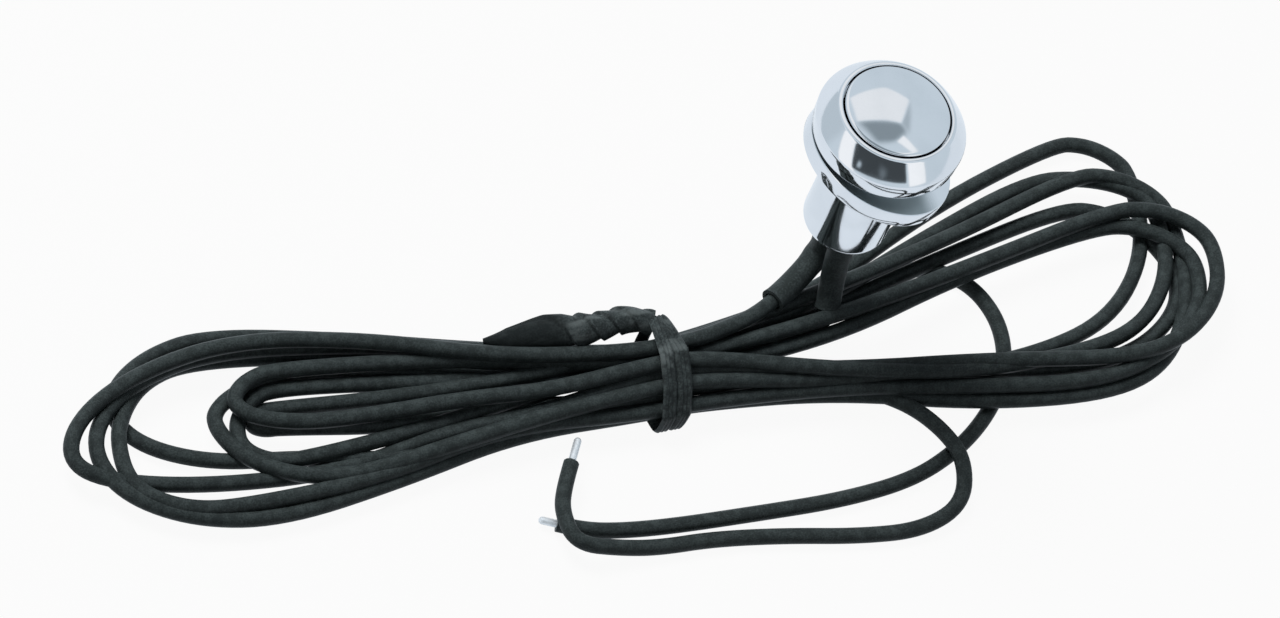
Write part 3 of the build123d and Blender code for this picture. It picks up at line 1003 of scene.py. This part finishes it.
@dataclass
class Lead:
    """One insulated lead from its soldered end to its stripped end, with its whole length in metres."""

    name: str
    exit_y: float
    drop: Sequence[Point]
    passes: Sequence[Slot]
    bights: Sequence[Bight]
    tail: Sequence[Point]
    nodes: tuple[str, ...]
    length: float
    curve: bpy.types.Object | None = None

    RADIUS = 0.875
    INSULATION_TOP = -19.4
    EXIT_Z = -20.9
    MOUTH_Z = -16.2
    NECK_LEFT = -24.6
    NECK_RIGHT = -17.6
    CURVE_ORDER = 3
    CURVE_STEPS = 8
    BEVEL_STEPS = 4

    def route(self) -> list[Vector]:
        """The lead's control points: its drop from the switch, its folds, and its tail.

        Returns:
            Points in metres.
        """
        points = [metres(0, self.exit_y, self.INSULATION_TOP), metres(0, self.exit_y, self.EXIT_Z)]
        points += [over_floor(*p) for p in self.drop]
        necks = self.NECK_RIGHT, self.NECK_LEFT
        for bight, start, end in zip(self.bights, self.passes, self.passes[1:]):
            points += [over_floor(x, start.y, start.height) for x in necks]
            if necks[1] == self.NECK_LEFT:
                points += bight.points(necks[1], start, end)
            else:
                points += reversed(bight.points(necks[1], end, start))
            necks = necks[::-1]
        last = self.passes[-1]
        points += [over_floor(x, last.y, last.height) for x in necks]
        points += [over_floor(*p) for p in self.tail]
        return points

    def build(self) -> None:
        """Make the lead as one smooth curve."""
        data = bpy.data.curves.new(self.name, "CURVE")
        data.dimensions = "3D"
        route = self.route()
        spline = data.splines.new("NURBS")
        spline.points.add(len(route) - 1)
        for point, place in zip(spline.points, route):
            point.co = (*place, 1.0)
        spline.order_u = self.CURVE_ORDER
        spline.use_endpoint_u = True
        spline.resolution_u = self.CURVE_STEPS
        data.bevel_depth = self.RADIUS * MM
        data.bevel_resolution = self.BEVEL_STEPS
        data.use_fill_caps = True
        self.curve = Piece(self.name, Body.SWITCH, PVC, "lead_pvc", self.nodes).place(data)

    def centreline(self) -> list[Vector]:
        """Points along the lead, read from its spline.

        Returns:
            Points in metres, from the soldered end.
        """
        plain = self.curve.copy()
        plain.data = self.curve.data.copy()
        plain.data.bevel_depth = 0.0
        bpy.context.scene.collection.objects.link(plain)
        mesh = bpy.data.meshes.new_from_object(plain.evaluated_get(bpy.context.evaluated_depsgraph_get()))
        points = [v.co.copy() for v in mesh.vertices]
        bpy.data.objects.remove(plain)
        bpy.data.meshes.remove(mesh)
        return points


LEAD_A = Lead(
    name="insulated_lead_a",
    exit_y=1.57,
    drop=[(0.5, 1.7, 7.4), (-4.3, -1.3, 6.2), (-9.0, -3.6, 5.9), (-12.8, -4.6, 6.1)],
    passes=[
        Slot(-5.5, 6.3),
        Slot(-8.0, 4.8),
        Slot(-6.45, 4.8),
        Slot(-7.4, 6.1),
        Slot(-3.8, 3.27),
        Slot(-10.7, 1.75),
        Slot(-4.7, 4.8),
        Slot(-9.0, 1.75),
    ],
    bights=[
        Bight((-66.7, 5.6, 4.6), (-88.1, -3.8, 3.0), (-58.7, -10.1, 0.95), (-1.1, 0.8), (-0.5, 0.8)),
        Bight((37.9, 1.8, 4.4), (47.4, -4.8, 4.4), (32.2, -16.8, 5.0), (-1.2, -0.7), (-0.8, -0.1)),
        Bight((-63.5, 1.8, 3.7), (-68.8, -1.3, 3.7), (-55.2, -5.7, 4.0), (1.2, 1.0), (-0.9, -0.1)),
        Bight((30.7, 8.5, 2.4), (43.8, 2.1, 2.4), (27.8, -14.3, 4.0), (-2.9, -1.0), (-2.1, -2.9)),
        Bight((-68.3, 5.7, 2.8), (-85.3, -4.1, 2.65), (-67.5, -14.4, 1.4), (0.5, 1.1), (1.8, 0.3)),
        Bight((36.0, 7.7, 3.2), (45.2, 0.9, 2.4), (29.6, -19.2, 2.65), (-0.8, -0.9), (0.8, -1.3)),
        Bight((-65.0, -1.2, 1.0), (-67.0, -2.7, 1.3), (-64.6, -4.2, 2.2), (-1.0, -0.9), (0.6, -1.0)),
    ],
    tail=[
        (-6.0, -5.6, 1.6),
        (3.0, -2.2, 1.2),
        (9.0, 0.3, 0.95),
        (13.2, 1.5, 0.875),
        (17.4, 0.1, 0.875),
        (20.2, -3.2, 0.875),
        (20.9, -8.4, 0.875),
        (18.7, -14.2, 0.875),
        (14.6, -18.6, 0.875),
        (9.5, -22.0, 0.875),
        (2.9, -24.5, 0.875),
        (-6.1, -25.2, 0.875),
        (-16.0, -24.8, 0.875),
        (-25.9, -24.3, 0.875),
        (-32.0, -23.6, 0.875),
        (-36.0, -22.6, 0.875),
        (-38.4, -21.3, 0.875),
    ],
    nodes=("lead_a_start", "wire_hank", "lead_a_tail"),
    length=1.06,
)

LEAD_B = Lead(
    name="insulated_lead_b",
    exit_y=-1.57,
    drop=[(0.5, -2.2, 6.6), (-0.3, -5.0, 2.6), (-4.5, -5.6, 1.9), (-10.0, -5.7, 1.8)],
    passes=[
        Slot(-6.4, 1.75),
        Slot(-9.6, 4.85),
        Slot(-4.65, 1.75),
        Slot(-11.3, 3.0),
        Slot(-7.3, 3.27),
        Slot(-5.55, 3.27),
        Slot(-2.9, 1.75),
        Slot(-9.5, 3.3),
    ],
    bights=[
        Bight((-60.0, 2.1, 2.0), (-71.2, -2.3, 2.0), (-57.9, -11.7, 2.65), (-0.3, 0.4), (0.4, 0.2)),
        Bight((33.7, 4.6, 1.6), (43.2, -5.6, 1.4), (26.6, -15.8, 2.65), (-1.0, -0.1), (-0.7, 0.1)),
        Bight((-70.7, 6.0, 1.1), (-83.0, -6.1, 2.65), (-72.5, -12.6, 2.2), (0.3, 1.2), (2.1, -0.6)),
        Bight((35.6, 0.7, 3.2), (44.9, -6.3, 3.6), (26.8, -18.3, 3.9), (-2.0, 0.1), (0.9, 0.1)),
        Bight((-63.4, 0.4, 2.2), (-69.3, -4.7, 1.9), (-63.9, -8.3, 1.9), (0.5, 0.5), (-0.1, -0.5)),
        Bight((36.5, 13.4, 1.0), (43.4, 7.9, 1.0), (22.4, -12.6, 2.65), (-2.7, 0.2), (-2.3, -3.1)),
        Bight((-68.2, 8.7, 1.3), (-81.2, 1.5, 0.95), (-62.7, -7.4, 0.95), (-0.1, 0.5), (-0.6, -3.1)),
    ],
    tail=[
        (-9.5, -9.4, 1.8),
        (-4.0, -10.4, 1.8),
        (1.5, -12.8, 1.8),
        (5.6, -15.9, 2.2),
        (7.9, -20.1, 2.75),
        (8.9, -24.3, 2.75),
        (7.2, -28.9, 1.4),
        (1.5, -30.7, 0.875),
        (-5.9, -29.9, 0.875),
        (-13.9, -28.1, 0.875),
        (-22.0, -26.8, 0.875),
        (-28.4, -26.6, 1.0),
        (-33.0, -26.1, 1.7),
        (-38.1, -25.1, 2.75),
        (-38.2, -21.1, 2.75),
        (-36.9, -18.3, 2.75),
        (-34.9, -15.45, 2.75),
    ],
    nodes=("lead_b_start", "lead_b_tail"),
    length=1.035,
)


@dataclass
class ShrinkSleeve:
    """Heat-shrink tubing over a soldered joint, following its lead.

    Each fold has its distance from the sleeve's top, its width and how much wider the sleeve is there.
    """

    name: str
    node: str
    lead: Lead
    reach: float
    folds: Sequence[tuple[float, float, float]]
    top: float = -16.05
    radius: float = 1.38
    wall: float = 0.4
    end_flare: float = 0.07
    flare_length: float = 1.0

    LEAD_IN_STEPS = 14
    SIDES = 40

    def swell(self, along: float) -> float:
        """How much wider than plain the sleeve is at a distance from its top.

        Args:
            along: The distance in millimetres.

        Returns:
            A factor for the radius.
        """
        folds = sum(size * math.exp(-(((along - place) / width) ** 2)) for place, width, size in self.folds)
        ending = max(0.0, 1.0 - (self.reach - along) / self.flare_length)
        return 1.0 + folds + self.end_flare * smooth_step(ending)

    def build(self) -> bpy.types.Object:
        """Sweep the tube down the lead's own line.

        Returns:
            The sleeve's object.
        """
        line = self.lead.centreline()
        start, steps = metres(0, self.lead.exit_y, self.top), self.LEAD_IN_STEPS
        route = [start + (line[0] - start) * i / steps for i in range(steps)] + line
        points, gone = [route[0]], [0.0]
        for before, point in zip(route, route[1:]):
            far = gone[-1] + (point - before).length / MM
            if far > self.reach:
                break
            points.append(point)
            gone.append(far)
        sizes = [self.swell(far) for far in gone]
        stations = [Station(frame, size, size) for frame, size in zip(carried(points, X_AXIS), sizes)]
        shape = swept(circle(self.radius, self.SIDES), stations, capped=False)
        bmesh.ops.solidify(shape, geom=shape.faces, thickness=self.wall * MM)
        bmesh.ops.recalc_face_normals(shape, faces=shape.faces)
        piece = Piece(self.name, Body.SWITCH, SHRINK, "shrink_sleeve", (self.node,))
        return piece.mesh(shape, SWEPT_CREASE)


SOLDER_FOLD = (3.0, 1.6, 0.05)
SLEEVE_A = ShrinkSleeve(
    name="shrunk_sleeve_a",
    node="sleeve_a",
    lead=LEAD_A,
    reach=16.9,
    folds=(SOLDER_FOLD, (8.9, 0.9, 0.09)),
)
SLEEVE_B = ShrinkSleeve(
    name="shrunk_sleeve_b",
    node="sleeve_b",
    lead=LEAD_B,
    reach=12.6,
    folds=(SOLDER_FOLD,),
)


@dataclass(frozen=True)
class TwistKnot:
    """A place along the tie's pigtail: its middle, its half width, how flat it is there and its twist."""

    place: Point
    radius: float
    flat: float
    twist: float


@dataclass
class TwistTie:
    """Two wraps of a ribbed band round the folded leads, and its ends twisted into a pigtail."""

    corners: Sequence[Slot] = (
        Slot(-3.8, 7.2),
        Slot(-7.0, 6.9),
        Slot(-9.7, 5.0),
        Slot(-11.6, 3.0),
        Slot(-11.6, 1.5),
        Slot(-2.9, 1.5),
    )
    first_wrap: Sequence[float] = (-20.9, -20.1, -20.2, -20.6, -20.9, -20.9)
    second_wrap: Sequence[float] = (-21.6, -21.8, -21.95, -22.3, -22.5, -23.4)
    lead_radius: float = Lead.RADIUS
    band_width: float = 1.75
    band_thickness: float = 0.5
    ribs: int = 4
    rib_height: float = 0.05
    edge: float = 0.25
    band_points: int = 32
    pigtail: Sequence[TwistKnot] = (
        TwistKnot((-21.6, -3.0, 7.3), 1.3, 0.9, -40.0),
        TwistKnot((-22.8, -2.4, 7.3), 1.45, 1.0, 60.0),
        TwistKnot((-24.7, -1.9, 7.3), 1.46, 1.0, 165.0),
        TwistKnot((-26.8, -2.1, 7.2), 1.52, 0.95, 330.0),
        TwistKnot((-29.3, -2.15, 7.0), 1.72, 0.9, 500.0),
        TwistKnot((-31.8, -1.5, 6.6), 1.85, 0.75, 640.0),
        TwistKnot((-33.9, -1.05, 6.25), 1.75, 0.55, 700.0),
        TwistKnot((-36.2, -0.8, 5.85), 1.45, 0.45, 715.0),
        TwistKnot((-38.3, -0.5, 5.45), 1.1, 0.4, 720.0),
        TwistKnot((-40.0, -0.1, 5.05), 0.3, 0.4, 720.0),
    )
    pigtail_across: Point = (0.0, 0.83, 0.56)
    lap: float = 0.28
    lap_edge: float = 0.16
    pigtail_points: int = 64
    steps: int = 12

    CORNER_SHARES = (0.25, 0.75)
    INNER_SHARES = (0.9, 0.5, 0.0, -0.5, -0.9)
    INNER_POWER = 4

    def around(self, index: int) -> Section:
        """Two places that carry the band round one corner of the bundle.

        Args:
            index: Which corner.

        Returns:
            Each place's y and height over the floor in millimetres.
        """
        spots = [Vector((slot.y, slot.height)) for slot in self.corners]
        before, here, after = spots[index - 1], spots[index], spots[(index + 1) % len(spots)]
        first, second = (math.atan2(-run.x, run.y) for run in (here - before, after - here))
        turn = (second - first) % math.tau
        reach = (self.lead_radius + self.band_thickness / 2) / math.cos(self.CORNER_SHARES[0] * turn)
        angles = [first + share * turn for share in self.CORNER_SHARES]
        return [(here.x + reach * math.cos(a), here.y + reach * math.sin(a)) for a in angles]

    def wrap(self) -> list[Vector]:
        """The band's middle line, twice round the leads.

        Returns:
            Points in metres.
        """
        knots = []
        for stations in (self.first_wrap, self.second_wrap):
            for index, x in enumerate(stations):
                knots += [over_floor(x, *place) for place in self.around(index)]
        return smooth_line(knots, self.steps)

    def band_ring(self) -> Section:
        """The band's section: flat inside, ribbed outside, rounded edges.

        Returns:
            Points in millimetres.
        """
        half, thick, count = self.band_width / 2, self.band_thickness / 2, self.band_points
        outer = []
        for i in range(count + 1):
            u = -half + self.band_width * i / count
            edge = smooth_step(min(1.0, (half - abs(u)) / self.edge))
            rib = self.rib_height * math.cos(math.tau * self.ribs * u / self.band_width)
            outer.append((u, thick * edge + rib * edge))
        inner = [(half * share, -thick * (1 - share**self.INNER_POWER)) for share in self.INNER_SHARES]
        return outer + inner

    def band(self) -> bmesh.types.BMesh:
        """Sweep the band's section along both wraps.

        Returns:
            The wraps, in metres.
        """
        points = self.wrap()
        frames = [frame_at(point, X_AXIS, along) for point, along in zip(points, headings(points))]
        return swept(self.band_ring(), [Station(frame) for frame in frames])

    def lapped_ring(self) -> Section:
        """The pigtail's section, two turns of tape that each lap over the other's edge.

        Returns:
            Points for a radius of one millimetre.
        """
        ring = []
        for i in range(self.pigtail_points):
            turn = math.tau * i / self.pigtail_points
            share = (turn / math.pi) % 1.0
            drop = smooth_step(min(1.0, share / self.lap_edge))
            radius = 1.0 + self.lap * (0.5 - share) * drop - 0.5 * self.lap * (1.0 - drop)
            ring.append((radius * math.cos(turn), radius * math.sin(turn)))
        return ring

    def pigtail_shape(self) -> bmesh.types.BMesh:
        """Sweep the twisted ends, round near the tie and flattened out towards their far end.

        Returns:
            The pigtail, in metres.
        """
        points = smooth_line([over_floor(*knot.place) for knot in self.pigtail], self.steps)
        spans = len(self.pigtail) - 1
        traits = []
        for i in range(len(points)):
            place = spans * i / (len(points) - 1)
            index = min(int(place), spans - 1)
            here, there, share = self.pigtail[index], self.pigtail[index + 1], place - index
            pairs = ((here.radius, there.radius), (here.flat, there.flat), (here.twist, there.twist))
            traits.append([a + share * (b - a) for a, b in pairs])
        stations = []
        for frame, (radius, flat, twist) in zip(carried(points, Vector(self.pigtail_across)), traits):
            squeeze = Matrix.Diagonal((radius, radius * flat, 1.0, 1.0))
            stations.append(Station(frame @ squeeze @ Matrix.Rotation(math.radians(twist), 4, "Z")))
        return swept(self.lapped_ring(), stations)

    def build(self) -> bpy.types.Object:
        """Join wraps and pigtail into one piece.

        Returns:
            The tie's object.
        """
        shape = self.band()
        twisted = bpy.data.meshes.new("pigtail_part")
        part = self.pigtail_shape()
        part.to_mesh(twisted)
        part.free()
        shape.from_mesh(twisted)
        bpy.data.meshes.remove(twisted)
        piece = Piece("wrapped_tie", Body.SWITCH, TIE_SKIN, "tie_plastic", ("twist_tie",))
        return piece.mesh(shape, SWEPT_CREASE)


@dataclass
class StrippedTip:
    """The bare end of a lead: tinned strands with a rounded end."""

    name: str
    node: str
    lead: Lead
    length: float
    radius: float = 0.42
    inside: float = 0.6
    round_steps: int = 6
    sides: int = 28

    def build(self) -> bpy.types.Object:
        """Sweep the rod on from the end of the insulation.

        Returns:
            The tip's object.
        """
        line = self.lead.centreline()
        ahead = (line[-1] - line[-2]).normalized()
        frame = frame_at(line[-1], Z_AXIS, ahead)
        stations = [Station(frame @ Matrix.Translation((0, 0, -self.inside * MM)))]
        straight = self.length - self.radius
        for step in range(self.round_steps):
            angle = math.pi / 2 * step / self.round_steps
            lift = straight + self.radius * math.sin(angle)
            size = math.cos(angle)
            stations.append(Station(frame @ Matrix.Translation((0, 0, lift * MM)), size, size))
        shape = swept(circle(self.radius, self.sides), stations)
        piece = Piece(self.name, Body.SWITCH, TINNED, "tinned_copper", (self.node,))
        return piece.mesh(shape, SWEPT_CREASE)


TIP_A = StrippedTip(name="stripped_tip_a", node="lead_a_tip", lead=LEAD_A, length=2.0)
TIP_B = StrippedTip(name="stripped_tip_b", node="lead_b_tip", lead=LEAD_B, length=3.4)


@dataclass
class ReturnSpring:
    """The coil under the contact bridge, which shortens as the button goes down; here it is wound at the
    imported spring's height only.
    """

    travel: float
    radius: float = 1.5
    wire: float = 0.4
    turns: int = 6
    steps_a_turn: int = 36
    sides: int = 12

    def build(self) -> None:
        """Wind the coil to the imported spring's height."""
        low, high = (corner.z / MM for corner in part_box("return_spring"))
        rise = high - low - self.wire
        count = self.turns * self.steps_a_turn
        route = []
        for step in range(count + 1):
            turn = math.tau * step / self.steps_a_turn
            lift = low + self.wire / 2 + rise * step / count
            route.append(metres(self.radius * math.cos(turn), self.radius * math.sin(turn), lift))
        stations = [Station(frame) for frame in carried(route, Z_AXIS)]
        shape = swept(circle(self.wire / 2, self.sides), stations)
        piece = Piece("coil_spring", Body.SWITCH, SPRING, "spring_steel", ("return_spring",))
        made = piece.mesh(shape, SWEPT_CREASE)
        keep = 1 - self.travel / (high - low)
        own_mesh(made)


@dataclass
class InnerWorks:
    """The other pieces inside the barrel, shown as imported and only dressed here."""

    nodes: dict[str, bpy.types.Object]
    finishes: tuple[tuple[str, Finish, str], ...] = (
        ("stem_clip", SPRING, "spring_steel"),
        ("plunger", INSULATOR, "insulator"),
        ("contact_bridge", BRASS, "contact_brass"),
        ("contact_base", INSULATOR, "insulator"),
        ("terminal_a", BRASS, "contact_brass"),
        ("terminal_b", BRASS, "contact_brass"),
        ("solder_joint_a", SOLDER, "solder"),
        ("solder_joint_b", SOLDER, "solder"),
    )

    def dress(self) -> None:
        """Give each piece its finish."""
        for name, finish, slot in self.finishes:
            node = self.nodes[name]
            node.data.materials.clear()
            node.data.materials.append(finish.material())
            LOG.info("%s dressed in %s", name, finish.name)


@dataclass(frozen=True)
class RoomPatch:
    """A panel or a dark opening in the room: its corners, its tone and the width of its soft edge.

    Each corner is a bearing, from straight towards the camera round to the right, and an elevation.
    """

    corners: tuple[tuple[float, float], ...]
    tone: float
    soft: float

    def inside(self, graph: Graph, look: bpy.types.NodeSocket, azimuth: float) -> Value:
        """1 in the patch and 0 outside it.

        Args:
            graph: The world's graph.
            look: The looking direction.
            azimuth: The camera's bearing.

        Returns:
            The soft mask.
        """
        ways = [self.way(bearing - azimuth, lift) for bearing, lift in self.corners]
        middle = sum(ways, Vector((0, 0, 0)))
        soft = math.radians(self.soft)
        edges = []
        for way, after in zip(ways, ways[1:] + ways[:1]):
            inward = way.cross(after).normalized()
            inward *= math.copysign(1.0, inward.dot(middle))
            edges.append(graph.along(look, inward).between(-soft, soft))
        return math.prod(edges[1:], start=edges[0])

    @staticmethod
    def way(bearing: float, lift: float) -> Vector:
        """The direction with a bearing and an elevation."""
        turn, rise = math.radians(bearing), math.radians(lift)
        return Vector((math.cos(rise) * math.sin(turn), -math.cos(rise) * math.cos(turn), math.sin(rise)))


@dataclass(frozen=True)
class SoftPanel:
    """A soft light: where it hangs, what it points at, its width and height, and its power in watts."""

    name: str
    place: Point
    aim: Point
    size: tuple[float, float]
    watts: float

    def hang(self) -> None:
        """Put the light into the scene and keep it out of mirror images."""
        data = bpy.data.lights.new(self.name, "AREA")
        data.shape = "RECTANGLE"
        data.size, data.size_y = (side * MM for side in self.size)
        data.energy = self.watts
        made = bpy.data.objects.new(self.name, data)
        made.location = metres(*self.place)
        made.rotation_euler = (metres(*self.aim) - metres(*self.place)).to_track_quat("-Z", "Y").to_euler()
        made.visible_glossy = False
        bpy.context.scene.collection.objects.link(made)


@dataclass
class Studio:
    """The floor, the light and the camera.

    The scale is in millimetres a pixel, and the rim is the middle of the bezel's upper edge.
    """

    azimuth: float = 42.0
    elevation: float = 52.66
    roll: float = 25.0
    distance: float = 900.0
    clip: tuple[float, float] = (10.0, 20000.0)
    scale: float = 0.10585
    frame_width: float = 1280.0
    frame_height: float = 618.0
    rim_z: float = 4.5
    rim_pixel: tuple[float, float] = (897.9, 111.4)
    sensor: float = 36.0
    ambient: Point = (0.085, 0.092, 0.094)
    floor_reach: float = 3000.0
    floor_white: float = 0.94
    floor_colour: Point = (0.4, 0.4, 0.4)
    floor_mirrored: Point = (0.86, 0.93, 1.0)
    room_tone: float = 0.6
    room_colours: tuple[tuple[float, Point], ...] = (
        (0.0, (0.02, 0.022, 0.024)),
        (0.3, (0.3, 0.36, 0.4)),
        (0.6, (0.66, 0.75, 0.82)),
        (0.85, (0.95, 0.97, 0.99)),
        (1.0, (1.1, 1.11, 1.12)),
    )
    patches: tuple[RoomPatch, ...] = (
        RoomPatch(((-125, -25), (-64, -25), (-64, 24), (-125, 24)), 0.52, 8.0),
        RoomPatch(((-108.8, 64), (162.8, 67), (140, 68), (110, 80), (-40, 84)), 0.27, 4.0),
        RoomPatch(((174, 42), (163, 67), (140, 66)), 0.42, 2.5),
        RoomPatch(((-131.3, 41.9), (-165, 37), (174.1, 41.9), (162.8, 66.9), (-108.8, 63.2)), 0.84, 1.2),
        RoomPatch(((114.1, 78.8), (133.9, 72.3), (104.9, 59.5), (97.3, 63.8)), 0.92, 1.0),
        RoomPatch(((-72, 28), (-50, 36), (-12, 4), (-35, 3)), 0.97, 1.2),
        RoomPatch(((-47, 36), (45.5, 40), (50, 11.5), (-21.7, 12.5)), 0.04, 1.2),
        RoomPatch(((48, 40), (76, 40), (74.5, 3.5), (54, 6)), 0.98, 1.2),
        RoomPatch(((-20, 22), (-15, 22), (-13, 18), (-18, 17)), 0.5, 2.0),
        RoomPatch(((12, 26), (22, 22), (19, 16), (14, 18)), 0.2, 5.0),
    )
    panels: tuple[SoftPanel, ...] = (
        SoftPanel("key_panel", (-250, 500, 820), (-10, 0, -20), (450, 450), 13.0),
        SoftPanel("side_panel", (-800, -500, 500), (0, 0, -20), (400, 400), 1.5),
    )

    def directions(self) -> tuple[Vector, Vector, Vector]:
        """The camera's right, up and forward directions.

        Returns:
            Three unit vectors in the part's frame.
        """
        turn, lift, roll = (math.radians(v) for v in (self.azimuth, self.elevation, self.roll))
        side = Vector((math.cos(turn), -math.sin(turn), 0))
        ahead = Vector((math.sin(turn), math.cos(turn), 0))
        forward = ahead * math.cos(lift) - Z_AXIS * math.sin(lift)
        rise = ahead * math.sin(lift) + Z_AXIS * math.cos(lift)
        right = side * math.cos(roll) + rise * math.sin(roll)
        up = rise * math.cos(roll) - side * math.sin(roll)
        return right, up, forward

    def camera(self) -> None:
        """Stand the camera where the photograph's was."""
        right, up, forward = self.directions()
        across = self.frame_width / 2 - self.rim_pixel[0]
        down = self.frame_height / 2 - self.rim_pixel[1]
        target = self.rim_z * Z_AXIS + self.scale * (across * right - down * up)
        data = bpy.data.cameras.new("photo_camera")
        data.sensor_fit = "HORIZONTAL"
        data.sensor_width = self.sensor
        data.lens = self.sensor * self.distance / (self.scale * self.frame_width)
        data.clip_start, data.clip_end = (far * MM for far in self.clip)
        made = bpy.data.objects.new("photo_camera", data)
        turn = Matrix((right, up, -forward)).transposed().to_4x4()
        made.matrix_world = Matrix.Translation((target - self.distance * forward) * MM) @ turn
        bpy.context.scene.collection.objects.link(made)
        bpy.context.scene.camera = made

    def floor(self) -> None:
        """Lay a plain pale floor that keeps a soft shadow."""
        shape = bmesh.new()
        bmesh.ops.create_grid(shape, x_segments=1, y_segments=1, size=self.floor_reach * MM)
        bmesh.ops.translate(shape, vec=metres(0, 0, FLOOR), verts=shape.verts)
        data = bpy.data.meshes.new("pale_floor")
        shape.to_mesh(data)
        shape.free()
        material = bpy.data.materials.new("pale_floor")
        material.use_nodes = True
        graph = Graph(material.node_tree)
        camera, glossy, through = self.rays(graph, "Camera", "Glossy", "Transmission")
        share = camera.largest(glossy).largest(through) * self.floor_white
        matt = graph.node("ShaderNodeBsdfDiffuse", None, {"Color": (*self.floor_colour, 1)})
        colour = graph.mix(glossy, WHITE, (*self.floor_mirrored, 1))
        glow = graph.node("ShaderNodeEmission", None, {"Color": colour, "Strength": 1.0})
        mixed = graph.node("ShaderNodeMixShader", None, {0: share, 1: matt.outputs[0], 2: glow.outputs[0]})
        graph.node("ShaderNodeOutputMaterial", None, {"Surface": mixed.outputs[0]})
        data.materials.append(material)
        made = bpy.data.objects.new("pale_floor", data)
        bpy.context.scene.collection.objects.link(made)

    @staticmethod
    def rays(graph: Graph, *kinds: str) -> list[Value]:
        """For each kind of ray, a value that is 1 for rays of that kind and 0 for others."""
        path = graph.node("ShaderNodeLightPath")
        return [Value(graph, path.outputs[f"Is {kind} Ray"]) for kind in kinds]

    def world(self) -> None:
        """Show mirrors a room of panels and dark sides, the camera plain white, and the rest dim light."""
        world = bpy.data.worlds.new("pale_room")
        world.use_nodes = True
        graph = Graph(world.node_tree)
        camera, glossy = self.rays(graph, "Camera", "Glossy")
        mirrored = graph.node("ShaderNodeValToRGB", {"stops": self.room_colours}, {"Fac": self.room(graph)})
        lit = graph.mix(glossy, (*self.ambient, 1), mirrored.outputs["Color"])
        colour = graph.mix(camera, lit, WHITE)
        back = graph.node("ShaderNodeBackground", None, {"Color": colour, "Strength": 1.0})
        graph.node("ShaderNodeOutputWorld", None, {"Surface": back.outputs[0]})
        bpy.context.scene.world = world

    def room(self, graph: Graph) -> bpy.types.NodeSocket:
        """How pale the room is in each direction, from 0 to 1.

        Args:
            graph: The world's graph.

        Returns:
            The paleness.
        """
        look = graph.node("ShaderNodeTexCoord").outputs["Generated"]
        tone = self.room_tone
        for patch in self.patches:
            tone = tone + patch.inside(graph, look, self.azimuth) * (patch.tone - tone)
        return tone.socket

    def light(self) -> None:
        """Lay the floor and light it."""
        self.floor()
        self.world()
        for panel in self.panels:
            panel.hang()


def main() -> None:
    """Build the object, its finishes and the studio."""
    logging.basicConfig(level=logging.INFO, format="%(name)s: %(message)s")
    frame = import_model()
    bpy.context.scene.view_settings.view_transform = "Standard"
    studio = Studio()
    studio.camera()
    for lead in (LEAD_A, LEAD_B):
        lead.build()
    Housing().build()
    Button().build()
    LooseRing().build()
    tie = TwistTie().build()
    sleeve_a, sleeve_b = (sleeve.build() for sleeve in (SLEEVE_A, SLEEVE_B))
    tip_a, tip_b = (tip.build() for tip in (TIP_A, TIP_B))
    press = next(joint for joint in frame["joints"] if joint["name"] == "button_press")
    ReturnSpring(travel=press["range_m"][1] / MM).build()
    InnerWorks(frame["nodes"]).dress()
    studio.light()


if __name__ == "__main__":
    main()
